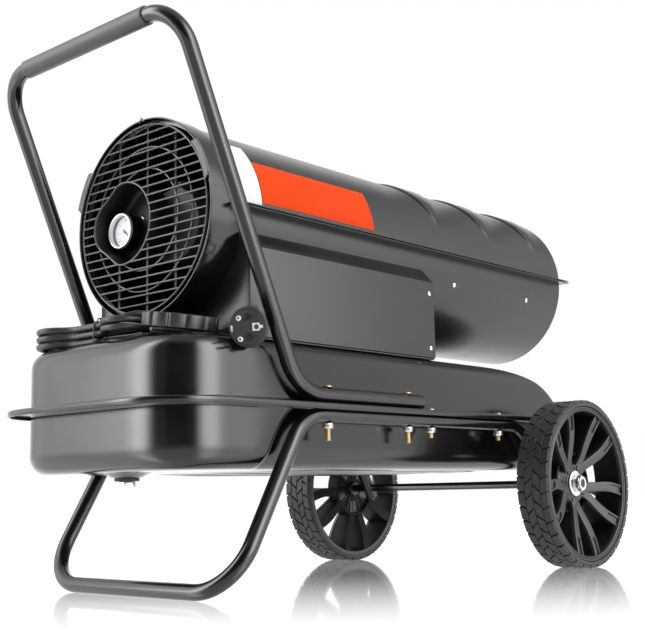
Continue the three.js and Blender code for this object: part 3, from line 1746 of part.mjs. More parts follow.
{
  const leadPoints = routePoints(leadRoute);
  const noseTip = cabinet.front - clearance - cord.glandLength - clearance;
  const gland = point(noseTip, cord.glandY, tankTop + cord.glandRise);
  leadPoints[0] = gland;
  leadPoints[leadPoints.length - 1] = hankStart.clone().add(point(0, -clearance, 0));
  const lead = curvedStations(leadPoints, 6, point(-1, 0, 0), point(0, 1, 0));
  piece("cord_lead", swept(section(cord.radius, 8), lead), "rubber");
  const plugPoints = routePoints(plugRoute);
  plugPoints[0] = hankEnd.clone().add(point(0, -clearance, 0));
  plugPoints[plugPoints.length - 1] = reliefEnd.clone().addScaledVector(plugExit, clearance);
  const stretch = curvedStations(plugPoints, 14, point(0, -1, 0), plugExit.clone().negate());
  piece("cord_plug_lead", swept(section(cord.radius, 8), stretch), "rubber");
}

{
  const reach = cord.waistOffset + cord.radius + clearance;
  const low = tankTop + clearance;
  const high = hankLow + 2 * cord.layerStep + cord.radius + clearance + cord.tieThick;
  const half = cord.tieWidth / 2;
  const t = cord.tieThick;
  const outside = block(
    cord.hankX - reach - t,
    cord.hankX + reach + t,
    cord.tieY - half,
    cord.tieY + half,
    low,
    high,
  );
  const inside = block(
    cord.hankX - reach,
    cord.hankX + reach,
    cord.tieY - half - overrun,
    cord.tieY + half + overrun,
    low + t,
    high - t,
  );
  piece("cord_tie", cut(outside, inside), "rubber");
}

{
  const up = point(0, 0, 1).addScaledVector(plugAxis, -plugAxis.z).normalize();
  const normal = plugAxis.clone().negate();
  const right = up.clone().cross(normal);
  const placed = new THREE.Matrix4().makeBasis(right, up, normal).setPosition(plugFace);
  const body = turned(
    [
      [0, -plug.depth],
      [plug.backRadius, -plug.depth],
      [plug.bodyRadius, -plug.faceThick - clearance],
      [plug.radius, -plug.faceThick],
      [plug.radius, 0],
      [0, 0],
    ],
    facets.medium,
  );
  const pins = sides.map((side) =>
    turned(discProfile(plug.pinRadius, -plug.faceThick / 2, plug.pinLength), facets.tiny).translate(
      0,
      (side * plug.pinSpacing) / 2,
      0,
    ),
  );
  const earthBore = turned(discProfile(plug.pinRadius, -plug.depth / 2, overrun), facets.tiny);
  const earth = earthBore.translate(plug.pinSpacing / 2, 0, 0);
  const profile = [[0, 0]];
  const start = plug.reliefStart;
  const rise = (share) => plug.reliefRadius + (plug.reliefNose - plug.reliefRadius) * share;
  profile.push([plug.reliefRadius, 0]);
  for (let k = 0; k < plug.ribs; k++) {
    const from = k / plug.ribs;
    const groove = (k + 0.6) / plug.ribs;
    profile.push([rise(from), start + plug.reliefLength * from]);
    profile.push([rise(groove), start + plug.reliefLength * groove]);
    profile.push([rise(groove) - clearance * 2, start + plug.reliefLength * groove]);
    profile.push([rise(groove) - clearance * 2, start + plug.reliefLength * (from + 0.95 / plug.ribs)]);
  }
  profile.push([plug.reliefNose, start + plug.reliefLength], [0, start + plug.reliefLength]);
  const aim = new THREE.Quaternion().setFromUnitVectors(point(0, 0, 1), plugExit);
  const relief = turned(profile, facets.tiny)
    .applyQuaternion(aim)
    .translate(reliefRoot.x, reliefRoot.y, reliefRoot.z);
  const head = cut(join(body, ...pins), earth);
  piece("cord_plug", join(geometryOf(head).applyMatrix4(placed), relief), "rubber");
}

// The origin is on the floor, under the middle of the heater's length.
const foremost = tank.front - tank.flangeFront;
heater.position.x = -(foremost + shell.rear) / 2;
const part = new THREE.Group();
part.add(heater);
export default part;
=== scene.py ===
# %% [markdown]
# # A diesel forced air heater
# A steel fuel tank hangs between bent tubes on two wheels. Above it lies a long round shell:
# a motor and fan behind a wire guard push air past a burner, and the hot air leaves at the far end.
# The whole object is black, so the picture lives from how light runs over coated steel, moulded
# plastic and rubber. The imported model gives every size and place; the cells below dress it.

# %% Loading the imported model
import math

import bmesh
import bpy
from mathutils import Matrix, Vector


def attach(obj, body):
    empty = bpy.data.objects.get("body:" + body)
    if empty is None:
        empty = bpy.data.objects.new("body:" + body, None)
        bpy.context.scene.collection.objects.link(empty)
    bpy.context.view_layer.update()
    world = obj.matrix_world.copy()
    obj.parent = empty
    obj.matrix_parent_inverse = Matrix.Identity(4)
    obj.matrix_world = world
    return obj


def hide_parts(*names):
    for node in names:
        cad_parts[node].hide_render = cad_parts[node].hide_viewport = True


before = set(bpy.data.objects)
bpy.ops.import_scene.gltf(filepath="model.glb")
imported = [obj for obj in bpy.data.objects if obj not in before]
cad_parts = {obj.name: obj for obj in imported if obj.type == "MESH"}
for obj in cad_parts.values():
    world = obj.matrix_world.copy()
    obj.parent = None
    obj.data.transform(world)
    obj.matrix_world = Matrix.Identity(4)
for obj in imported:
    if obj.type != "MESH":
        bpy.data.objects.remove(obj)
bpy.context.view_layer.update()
scene = bpy.context.scene
scene.view_settings.view_transform = "Standard"
MM = 0.001
TURN = math.tau
QUARTER = math.pi / 2
print("nodes in the frame:", len(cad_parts))

# %% [markdown]
# ## The camera
# The photograph was taken from low down, in front of the intake and to one side, with a long lens.
# Its place was worked out from parts of known size, such as the wheels and the tubes, so the
# numbers are a position, a direction and a small roll.

# %% Camera
CAMERA_PLACE = Vector((-0.99824, -0.87919, 0.09627))
CAMERA_YAW = 0.72678
CAMERA_PITCH = 0.155956
CAMERA_ROLL = -0.020432
LENS_MM = 62.685


def camera_turn():
    """The camera's rotation from its yaw, pitch and roll."""
    flat = Vector((math.cos(CAMERA_YAW), math.sin(CAMERA_YAW), 0))
    ahead = flat * math.cos(CAMERA_PITCH) + Vector((0, 0, math.sin(CAMERA_PITCH)))
    level = Vector((math.sin(CAMERA_YAW), -math.cos(CAMERA_YAW), 0))
    above = level.cross(ahead)
    right = level * math.cos(CAMERA_ROLL) + above * math.sin(CAMERA_ROLL)
    up = right.cross(ahead)
    return Matrix((right, up, -ahead)).transposed().to_4x4()


camera_data = bpy.data.cameras.new("camera")
camera_data.sensor_width = 36
camera_data.lens = LENS_MM
camera = bpy.data.objects.new("camera", camera_data)
scene.collection.objects.link(camera)
camera.matrix_world = Matrix.Translation(CAMERA_PLACE) @ camera_turn()
scene.camera = camera
print("camera at", [round(c, 3) for c in camera.location])

# %% [markdown]
# ## Building blocks for meshes
# Most pieces here are one of four kinds: a profile turned round an axis, a round section swept
# along a path, a skin through rings, or a flat outline given a thickness. Each helper starts a
# bmesh from an operator and shapes it with spin, extrude and transform, so that every edge is
# clean and the faces point outwards.

# %% Turning, sweeping and skinning
def keep(bm, name, material, body="heater", replaced=(), sharp=32.0):
    """Closes the work on a bmesh: one object that rides on a body of the model."""
    bmesh.ops.remove_doubles(bm, verts=bm.verts, dist=1e-6)
    bmesh.ops.recalc_face_normals(bm, faces=bm.faces)
    mesh = bpy.data.meshes.new(name)
    bm.to_mesh(mesh)
    bm.free()
    for face in mesh.polygons:
        face.use_smooth = True
    mesh.set_sharp_from_angle(angle=math.radians(sharp))
    mesh.materials.append(material)
    piece = bpy.data.objects.new(name, mesh)
    scene.collection.objects.link(piece)
    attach(piece, body)
    if replaced:
        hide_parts(*replaced)
    print(name, len(mesh.polygons), "faces")
    return piece


def turned(bm, profile, steps, place=Matrix.Identity(4)):
    """Spins a profile of (radius, height) round Z and moves it into place. Lengths are in mm."""
    points = [bm.verts.new((radius * MM, 0, height * MM)) for radius, height in profile]
    edges = [bm.edges.new(pair) for pair in zip(points, points[1:])]
    made = bmesh.ops.spin(
        bm,
        geom=points + edges,
        cent=(0, 0, 0),
        axis=(0, 0, 1),
        angle=TURN,
        steps=steps,
        use_merge=True,
    )
    to_walk = list({v for v in made["geom_last"] if isinstance(v, bmesh.types.BMVert)} | set(points))
    grown = set(points)
    while to_walk:
        v = to_walk.pop()
        for e in v.link_edges:
            other = e.other_vert(v)
            if other not in grown:
                grown.add(other)
                to_walk.append(other)
    found = [v for v in grown if v.is_valid]
    bmesh.ops.remove_doubles(bm, verts=found, dist=1e-7)
    found = [v for v in found if v.is_valid]
    bmesh.ops.transform(bm, matrix=place, verts=found)
    return found


def ring_of(bm, count):
    """A circle of loose edges whose points are then placed one by one."""
    made = bmesh.ops.create_circle(bm, cap_ends=False, segments=count, radius=MM)["verts"]
    return made, list({e for v in made for e in v.link_edges})


def skin(bm, rings, start_cap=True, end_cap=True):
    """A skin through rings with equal numbers of points, in mm, made by extruding the first ring."""
    row, edges = ring_of(bm, len(rings[0]))
    order = list(row)
    for vert, at in zip(order, rings[0]):
        vert.co = Vector(at) * MM
    everything = list(order)
    first = list(order)
    for ring in rings[1:]:
        made = bmesh.ops.extrude_edge_only(bm, edges=edges)["geom"]
        fresh = {g for g in made if isinstance(g, bmesh.types.BMVert)}
        following = []
        for vert in order:
            following.append(next(e.other_vert(vert) for e in vert.link_edges if e.other_vert(vert) in fresh))
        for vert, at in zip(following, ring):
            vert.co = Vector(at) * MM
        edges = [
            g for g in made
            if isinstance(g, bmesh.types.BMEdge) and g.verts[0] in fresh and g.verts[1] in fresh
        ]
        order = following
        everything += order
    if start_cap:
        bmesh.ops.contextual_create(bm, geom=first)
    if end_cap:
        bmesh.ops.contextual_create(bm, geom=order)
    return everything


def frames_along(points):
    """A matrix at each point of a path, turned as little as possible from one to the next."""
    ways = []
    for i, at in enumerate(points):
        before = points[max(i - 1, 0)]
        after = points[min(i + 1, len(points) - 1)]
        ways.append((after - before).normalized())
    side = ways[0].orthogonal().normalized()
    frames = []
    for i, (at, way) in enumerate(zip(points, ways)):
        if i:
            side = (side - way * side.dot(way)).normalized()
        lift = way.cross(side)
        frames.append(Matrix.Translation(at) @ Matrix((side, lift, way)).transposed().to_4x4())
    return frames


def tube(bm, points, radius, sides, closed=False, ends=True, tip=0.0):
    """A round bar of a radius in mm along points in mm; tip rounds its two ends."""
    path = [Vector(p) * MM for p in points]
    circle = [
        (radius * math.cos(TURN * k / sides), radius * math.sin(TURN * k / sides)) for k in range(sides)
    ]
    if closed:
        path = path + [path[0], path[1]]
    rings = []
    frames = frames_along(path)
    for frame_at in frames:
        rings.append([frame_at @ (Vector((x, y, 0)) * MM) / MM for x, y in circle])
    if closed:
        rings = rings[:-1]
        rings[-1] = rings[0] = [(Vector(a) + Vector(b)) / 2 for a, b in zip(rings[0], rings[-1])]
    elif tip:
        narrow = [Vector((x, y, 0)) * MM * (1 - tip / radius) for x, y in circle]
        way = (path[0] - path[1]).normalized()
        rings.insert(0, [frames[0] @ spot / MM + way * tip * 0.5 for spot in narrow])
        way = (path[-1] - path[-2]).normalized()
        rings.append([frames[-1] @ spot / MM + way * tip * 0.5 for spot in narrow])
    return skin(bm, rings, start_cap=ends and not closed, end_cap=ends and not closed)


def bent(corners, bends, steps):
    """Straight runs between corners, with an arc of the given radius at each inner corner."""
    corners = [Vector(c) for c in corners]
    path = [corners[0]]
    for corner, before, after, bend in zip(corners[1:-1], corners, corners[2:], bends):
        inward = (corner - before).normalized()
        outward = (after - corner).normalized()
        angle = inward.angle(outward)
        side = (outward - inward * math.cos(angle)).normalized()
        start = corner - inward * bend * math.tan(angle / 2)
        for k in range(steps + 1):
            a = angle * k / steps
            path.append(start + inward * bend * math.sin(a) + side * bend * (1 - math.cos(a)))
    return path + [corners[-1]]


def slab(bm, outline, low, high, place=Matrix.Identity(4), bevel=0.0, segments=2):
    """A flat outline of (x, y) in mm, filled and extruded from low to high, with softened edges."""
    row = [bm.verts.new((x * MM, y * MM, low * MM)) for x, y in outline]
    face = bm.faces.new(row)
    raised = bmesh.ops.extrude_face_region(bm, geom=[face])["geom"]
    lifted = [g for g in raised if isinstance(g, bmesh.types.BMVert)]
    bmesh.ops.translate(bm, vec=(0, 0, (high - low) * MM), verts=lifted)
    solid = row + lifted
    if bevel:
        edges = list({e for v in solid for e in v.link_edges})
        made = bmesh.ops.bevel(
            bm, geom=edges, offset=bevel * MM, segments=segments, profile=0.5,
            affect="EDGES", material=-1, clamp_overlap=True,
        )
        solid = list({v for f in made["faces"] for v in f.verts} | {v for v in solid if v.is_valid})
        linked = set(solid)
        for v in list(solid):
            for f in v.link_faces:
                linked.update(f.verts)
        solid = list(linked)
    bmesh.ops.transform(bm, matrix=place, verts=solid)
    return solid


def rounded(points, radius, steps):
    """The corners of a closed (x, y) outline, each rounded by an arc."""
    path = []
    count = len(points)
    for i, corner in enumerate(points):
        corner = Vector(corner)
        inward = (corner - Vector(points[i - 1])).normalized()
        outward = (Vector(points[(i + 1) % count]) - corner).normalized()
        angle = inward.angle(outward, 0)
        if angle < 0.01:
            path.append(tuple(corner))
            continue
        side = (outward - inward * math.cos(angle)).normalized()
        start = corner - inward * radius * math.tan(angle / 2)
        for k in range(steps + 1):
            a = angle * k / steps
            path.append(tuple(start + inward * radius * math.sin(a) + side * radius * (1 - math.cos(a))))
    return path


def polygon(count, radius, start):
    """A regular outline, such as a nut's."""
    return [
        (radius * math.cos(start + TURN * k / count), radius * math.sin(start + TURN * k / count))
        for k in range(count)
    ]


def facing(x, y, z, way, roll=0.0):
    """A place in mm whose own Z looks along a direction; roll turns it about that Z."""
    turn = Vector(way).normalized().to_track_quat("Z", "Y").to_matrix().to_4x4()
    return Matrix.Translation(Vector((x, y, z)) * MM) @ turn @ Matrix.Rotation(roll, 4, "Z")


ALONG_X = Matrix.Rotation(QUARTER, 4, "Y")


# %% [markdown]
# ## Shared surface effects
# A new coat of powder paint isn't a flat black. It has a fine orange-peel skin, its tone drifts a
# little, and dust settles where a face looks up. Moulded plastic has a finer grain. These effects
# are node groups, so each material only says how strong they are.

# %% Node groups
def start_group(name, inputs, outputs):
    """A node group with named sockets. An input is (name, type, value)."""
    group = bpy.data.node_groups.new(name, "ShaderNodeTree")
    for label, kind, value in inputs:
        made = group.interface.new_socket(name=label, in_out="INPUT", socket_type=kind)
        if value is not None:
            made.default_value = value
    for label, kind in outputs:
        group.interface.new_socket(name=label, in_out="OUTPUT", socket_type=kind)
    return group, group.nodes.new("NodeGroupInput"), group.nodes.new("NodeGroupOutput")


def add(tree, kind, **settings):
    """A node with its settings, and with values for the sockets that are named in them."""
    node = tree.nodes.new(kind)
    for label, value in settings.items():
        if hasattr(node, label):
            setattr(node, label, value)
        else:
            node.inputs[label.replace("_", " ")].default_value = value
    return node


def build_grain():
    """Bump heights of a fine skin: a coarse swell with a sharp grain on it."""
    group, given, result = start_group(
        "coat_grain",
        [("Scale", "NodeSocketFloat", 900.0), ("Swell", "NodeSocketFloat", 0.5)],
        [("Height", "NodeSocketFloat"), ("Tone", "NodeSocketFloat")],
    )
    place = add(group, "ShaderNodeTexCoord")
    fine = add(group, "ShaderNodeTexNoise", Detail=2.0, Roughness=0.6)
    slow = add(group, "ShaderNodeTexNoise", Scale=22.0, Detail=3.0)
    weigh = add(group, "ShaderNodeMath", operation="MULTIPLY_ADD")
    link = group.links.new
    link(place.outputs["Object"], fine.inputs["Vector"])
    link(place.outputs["Object"], slow.inputs["Vector"])
    link(given.outputs["Scale"], fine.inputs["Scale"])
    link(slow.outputs["Fac"], weigh.inputs[0])
    link(given.outputs["Swell"], weigh.inputs[1])
    link(fine.outputs["Fac"], weigh.inputs[2])
    link(weigh.outputs[0], result.inputs["Height"])
    link(slow.outputs["Fac"], result.inputs["Tone"])
    return group


def build_drift():
    """A base colour that drifts between two tones, with dust on faces that look up."""
    group, given, result = start_group(
        "tone_and_dust",
        [
            ("Tone", "NodeSocketFloat", 0.5),
            ("Base", "NodeSocketColor", (0.02, 0.02, 0.022, 1)),
            ("Worn", "NodeSocketColor", (0.04, 0.04, 0.042, 1)),
            ("Dust", "NodeSocketFloat", 0.06),
        ],
        [("Color", "NodeSocketColor")],
    )
    link = group.links.new
    spread = add(group, "ShaderNodeMapRange", From_Min=0.35, From_Max=0.7)
    blend = add(group, "ShaderNodeMix", data_type="RGBA")
    surface = add(group, "ShaderNodeNewGeometry")
    split = add(group, "ShaderNodeSeparateXYZ")
    upward = add(group, "ShaderNodeMapRange", From_Min=0.55, From_Max=1.0)
    place = add(group, "ShaderNodeTexCoord")
    specks = add(group, "ShaderNodeTexNoise", Scale=140.0, Detail=6.0, Roughness=0.7)
    grains = add(group, "ShaderNodeMapRange", From_Min=0.45, From_Max=0.75)
    settle = add(group, "ShaderNodeMath", operation="MULTIPLY")
    amount = add(group, "ShaderNodeMath", operation="MULTIPLY", use_clamp=True)
    cover = add(group, "ShaderNodeMix", data_type="RGBA")
    cover.inputs["B"].default_value = (0.28, 0.27, 0.25, 1)
    link(given.outputs["Tone"], spread.inputs["Value"])
    link(spread.outputs[0], blend.inputs["Factor"])
    link(given.outputs["Base"], blend.inputs["A"])
    link(given.outputs["Worn"], blend.inputs["B"])
    link(surface.outputs["Normal"], split.inputs[0])
    link(split.outputs["Z"], upward.inputs["Value"])
    link(place.outputs["Object"], specks.inputs["Vector"])
    link(specks.outputs["Fac"], grains.inputs["Value"])
    link(upward.outputs[0], settle.inputs[0])
    link(grains.outputs[0], settle.inputs[1])
    link(settle.outputs[0], amount.inputs[0])
    link(given.outputs["Dust"], amount.inputs[1])
    link(amount.outputs[0], cover.inputs["Factor"])
    link(blend.outputs["Result"], cover.inputs["A"])
    link(cover.outputs["Result"], result.inputs["Color"])
    return group


GRAIN = build_grain()
DRIFT = build_drift()
print("node groups:", GRAIN.name, DRIFT.name)

# %% [markdown]
# ## Materials
# Each finish of the real heater gets one material. The steel is powder coated, glossy on the body
# and duller on the wire guard. Numbers that are the same all over sit on the shader's own sockets;
# only colour, roughness and bump come through the groups.

# %% A material from the shared groups
def coat(name, base, worn, roughness, rough_span=0.06, grain=900.0, bump=0.02, dust=0.05, **shader):
    """A Principled material whose colour, roughness and bump vary over the surface."""
    material = bpy.data.materials.new(name)
    material.use_nodes = True
    tree = material.node_tree
    link = tree.links.new
    shade = tree.nodes["Principled BSDF"]
    skin_of = tree.nodes.new("ShaderNodeGroup")
    skin_of.node_tree = GRAIN
    skin_of.inputs["Scale"].default_value = grain
    tone = tree.nodes.new("ShaderNodeGroup")
    tone.node_tree = DRIFT
    tone.inputs["Base"].default_value = (*base, 1)
    tone.inputs["Worn"].default_value = (*worn, 1)
    tone.inputs["Dust"].default_value = dust
    rough = add(tree, "ShaderNodeMapRange", From_Min=0.3, From_Max=0.7)
    rough.inputs["To Min"].default_value = roughness - rough_span / 2
    rough.inputs["To Max"].default_value = roughness + rough_span / 2
    relief = add(tree, "ShaderNodeBump", Strength=bump, Distance=0.001)
    link(skin_of.outputs["Tone"], tone.inputs["Tone"])
    link(tone.outputs["Color"], shade.inputs["Base Color"])
    link(skin_of.outputs["Tone"], rough.inputs["Value"])
    link(rough.outputs[0], shade.inputs["Roughness"])
    link(skin_of.outputs["Height"], relief.inputs["Height"])
    link(relief.outputs["Normal"], shade.inputs["Normal"])
    for label, value in shader.items():
        shade.inputs[label.replace("_", " ")].default_value = value
    return material


GLOSS_BLACK = coat(
    "gloss_black_coat", (0.005, 0.005, 0.0055), (0.007, 0.007, 0.0075), 0.155, 0.04, bump=0.06, dust=0.03,
)
SHELL_BLACK = coat(
    "shell_black_coat", (0.006, 0.006, 0.0065), (0.008, 0.008, 0.0085), 0.25, 0.05, bump=0.08, dust=0.03,
)
CONSOLE_BLACK = coat(
    "console_black_coat", (0.007, 0.007, 0.0075), (0.010, 0.010, 0.0105), 0.36, 0.06, 500.0, bump=0.12,
    dust=0.03,
)
WIRE_BLACK = coat("coated_wire", (0.05, 0.05, 0.052), (0.07, 0.07, 0.073), 0.26, bump=0.04)
MOULDED = coat(
    "moulded_black_plastic", (0.010, 0.010, 0.011), (0.016, 0.016, 0.017), 0.40, grain=1600.0, bump=0.14,
)
# Painted shade: a darker, less shiny copy of the moulded plastic, for the wheels' deep insides, the filler
# neck and the gauge case.
SHADED = coat(
    "moulded_black_painted_shade", (0.003, 0.003, 0.003), (0.005, 0.005, 0.005), 0.6, bump=0.05, dust=0.0,
    **{"Specular IOR Level": 0.12},
)
TREAD = coat(
    "tyre_rubber", (0.016, 0.016, 0.017), (0.030, 0.029, 0.028), 0.62, rough_span=0.14, grain=700.0,
    bump=0.3, dust=0.25,
)
SHEATH = coat("cable_rubber", (0.013, 0.013, 0.014), (0.020, 0.020, 0.021), 0.44, grain=1400.0, bump=0.1)
GASKET = coat("gasket_rubber", (0.02, 0.02, 0.022), (0.03, 0.03, 0.032), 0.6, bump=0.1)
ZINC = coat(
    "bright_zinc", (0.70, 0.69, 0.66), (0.58, 0.56, 0.52), 0.28, 0.12, 500.0, bump=0.05, dust=0.0,
    Metallic=1.0,
)
YELLOW_ZINC = coat(
    "yellow_zinc", (0.62, 0.50, 0.26), (0.52, 0.44, 0.28), 0.34, 0.12, 500.0, bump=0.05, dust=0.0,
    Metallic=1.0,
)
SHEET_STEEL = coat(
    "bare_sheet_steel", (0.42, 0.41, 0.40), (0.30, 0.27, 0.24), 0.38, 0.16, 300.0, bump=0.08, Metallic=1.0,
)
CAST = coat("motor_enamel", (0.09, 0.09, 0.095), (0.12, 0.12, 0.125), 0.45, 0.12, 400.0, bump=0.3)
PUMP_ALLOY = coat(
    "cast_alloy", (0.10, 0.10, 0.105), (0.07, 0.07, 0.075), 0.5, 0.12, 500.0, bump=0.2, Metallic=0.6,
)
FAN_ALLOY = coat(
    "fan_alloy", (0.30, 0.30, 0.31), (0.22, 0.22, 0.23), 0.35, 0.1, 500.0, bump=0.05, Metallic=0.9,
)
# The dial's emission is a painted glow: it brightens the white dial deep in its case, though the dial is no
# lamp.
PAINTED_GLOW_DIAL = coat(
    "dial_painted_glow", (0.86, 0.87, 0.90), (0.82, 0.83, 0.86), 0.45, bump=0.01, dust=0.0,
    **{"Emission Color": (0.9, 0.93, 1.0, 1.0), "Emission Strength": 0.45},
)
# Printed black for the ticks and the needle. It is also painted shade where it stands for dark openings: the
# cup's hole, the latch window and the plug's openings.
PRINT_AND_SHADE_BLACK = coat("printed_black_and_painted_shade", (0.02, 0.02, 0.02), (0.03, 0.03, 0.03), 0.5, bump=0.01, dust=0.0)
PRINT_PALE = coat("printed_pale", (0.62, 0.63, 0.64), (0.55, 0.56, 0.57), 0.5, bump=0.01, dust=0.0)
ORANGE_LABEL = coat(
    "orange_label", (0.82, 0.062, 0.004), (0.76, 0.055, 0.004), 0.5, 0.05, 300.0, bump=0.02, dust=0.0,
    **{"Specular IOR Level": 0.12},
)
PALE_LABEL = coat("pale_label", (0.86, 0.87, 0.88), (0.80, 0.81, 0.83), 0.4, 0.05, 300.0, bump=0.02, dust=0.0)
BOARD = coat("board_laminate", (0.03, 0.12, 0.045), (0.04, 0.15, 0.06), 0.4, bump=0.05)
RED_LENS = coat(
    "red_plastic", (0.55, 0.03, 0.02), (0.48, 0.025, 0.02), 0.25, 0.05, 500.0, bump=0.02, dust=0.0,
)
CONTACT = coat("white_contact", (0.75, 0.75, 0.74), (0.68, 0.68, 0.67), 0.4, bump=0.02, dust=0.0)
SLEEVE = coat(
    "grip_sleeve", (0.045, 0.045, 0.046), (0.06, 0.06, 0.062), 0.42, 0.06, 300.0, bump=0.08, dust=0.0,
)
CUP_BLACK = coat(
    "pressed_cup_black", (0.004, 0.004, 0.0042), (0.006, 0.006, 0.0063), 0.5, bump=0.05, dust=0.0,
    **{"Specular IOR Level": 0.3},
)
GLASS = coat("clear_lens", (0.96, 0.98, 0.98), (0.96, 0.98, 0.98), 0.04, 0.0, bump=0.0, dust=0.0, Alpha=0.14)
BEZEL = coat(
    "gauge_bezel_metal", (0.78, 0.79, 0.81), (0.72, 0.73, 0.75), 0.34, 0.03, bump=0.0, dust=0.0,
    Metallic=0.75,
)
print("materials:", len(bpy.data.materials))

# %% [markdown]
# ## Floor, backdrop and light
# The heater stands on a white, slightly glossy sweep, so the wheels and the foot bar show faint
# mirror images. The floor stays white to the camera because part of it glows for camera rays; its
# diffuse share keeps the shadow and its glossy share keeps the reflection. The polish is a pattern
# that lies on the floor: strongest round the wheels, weaker towards the foot bar, gone further out.

# %% Floor
POLISH_WAY = (0.747, 0.664, 0)
POLISH_ALONG = {"From Min": -0.67, "From Max": 0.07, "To Min": 0.12, "To Max": 0.88}
POLISH_AROUND = {"From Min": 0.5, "From Max": 0.85, "To Min": 1, "To Max": 0.04}
POLISH_IN_REFLECTIONS = 0.34
GLOW_SHARE, GLOW_SEEN, GLOW_MIRRORED = 0.62, 1.62, 2.4


def eased_range(tree, limits):
    """A Map Range node with soft ends."""
    node = add(tree, "ShaderNodeMapRange")
    node.interpolation_type = "SMOOTHSTEP"
    for socket, value in limits.items():
        node.inputs[socket].default_value = value
    return node


def build_floor():
    """The floor's plane and its material, handed over as the stage."""
    bm = bmesh.new()
    bmesh.ops.create_grid(bm, x_segments=1, y_segments=1, size=12)
    mesh = bpy.data.meshes.new("floor")
    bm.to_mesh(mesh)
    bm.free()
    floor = bpy.data.objects.new("floor", mesh)
    scene.collection.objects.link(floor)
    material = bpy.data.materials.new("white_floor")
    material.use_nodes = True
    tree = material.node_tree
    tree.nodes.clear()
    link = tree.links.new
    out = add(tree, "ShaderNodeOutputMaterial")
    matt = add(tree, "ShaderNodeBsdfDiffuse", Color=(0.86, 0.86, 0.86, 1))
    mirror = add(tree, "ShaderNodeBsdfGlossy", Color=(1, 1, 1, 1), Roughness=0.06)
    glow = add(tree, "ShaderNodeEmission", Color=(1, 1, 1, 1))
    strength = add(tree, "ShaderNodeMapRange")
    strength.inputs["To Min"].default_value = GLOW_SEEN
    strength.inputs["To Max"].default_value = GLOW_MIRRORED
    paths = add(tree, "ShaderNodeLightPath")
    seen = add(tree, "ShaderNodeMath", operation="MAXIMUM")
    seen_too = add(tree, "ShaderNodeMath", operation="MAXIMUM")
    share = add(tree, "ShaderNodeMath", operation="MULTIPLY")
    share.inputs[1].default_value = GLOW_SHARE
    body = add(tree, "ShaderNodeMixShader")
    polish = add(tree, "ShaderNodeMixShader")
    place = add(tree, "ShaderNodeTexCoord")
    along = add(tree, "ShaderNodeVectorMath", operation="DOT_PRODUCT")
    along.inputs[1].default_value = POLISH_WAY
    towards_wheels = eased_range(tree, POLISH_ALONG)
    reach = add(tree, "ShaderNodeVectorMath", operation="LENGTH")
    near_middle = eased_range(tree, POLISH_AROUND)
    polished = add(tree, "ShaderNodeMath", operation="MULTIPLY")
    by_ray = add(tree, "ShaderNodeMix")
    by_ray.inputs[2].default_value = POLISH_IN_REFLECTIONS
    link(place.outputs["Object"], along.inputs[0])
    link(along.outputs["Value"], towards_wheels.inputs["Value"])
    link(place.outputs["Object"], reach.inputs[0])
    link(reach.outputs["Value"], near_middle.inputs["Value"])
    link(towards_wheels.outputs[0], polished.inputs[0])
    link(near_middle.outputs[0], polished.inputs[1])
    link(paths.outputs["Is Camera Ray"], by_ray.inputs[0])
    link(polished.outputs[0], by_ray.inputs[3])
    link(by_ray.outputs[0], polish.inputs[0])
    link(paths.outputs["Is Camera Ray"], seen.inputs[0])
    link(paths.outputs["Is Glossy Ray"], seen.inputs[1])
    link(seen.outputs[0], seen_too.inputs[0])
    link(paths.outputs["Is Transmission Ray"], seen_too.inputs[1])
    link(seen_too.outputs[0], share.inputs[0])
    link(paths.outputs["Is Glossy Ray"], strength.inputs["Value"])
    link(strength.outputs[0], glow.inputs["Strength"])
    link(share.outputs[0], body.inputs[0])
    link(matt.outputs[0], body.inputs[1])
    link(glow.outputs[0], body.inputs[2])
    link(body.outputs[0], polish.inputs[1])
    link(mirror.outputs[0], polish.inputs[2])
    link(polish.outputs[0], out.inputs["Surface"])
    mesh.materials.append(material)


build_floor()
print("floor laid")

# %% [markdown]
# A gloss black coat shows the room more than the lamps. The photograph's bands give the room away:
# the tank's front corner sweeps its mirror direction from the left of the camera round to the
# right, and shows a bright box, then the dark side where the camera stands, then a second box.
# So the world has three answers: plain white for the camera, an even grey as a light, and for
# mirror rays a ring of tones by compass direction.

# %% The room in the reflections
ROOM = [
    (-180, 0.03), (-140, 0.03), (-132, 0.2), (-124, 0.8), (-115, 2.4), (-107, 6.2), (-99, 11.2),
    (-92, 12.6), (-80, 12.6), (-74, 9.0), (-68, 6.0), (-60, 4.8), (-46, 4.7), (-41, 3.1), (-37, 2.1),
    (-33, 1.5), (-20, 1.3), (-12, 1.0), (-4, 0.6), (4, 0.4), (12, 0.6), (23, 1.35), (60, 1.6), (95, 1.5),
    (113, 3.2), (124, 3.5), (128.5, 3.8), (131, 12.0), (142, 12.6), (147, 8.0), (153, 2.2), (160, 0.3),
]
ROOM_PEAK = 12.6


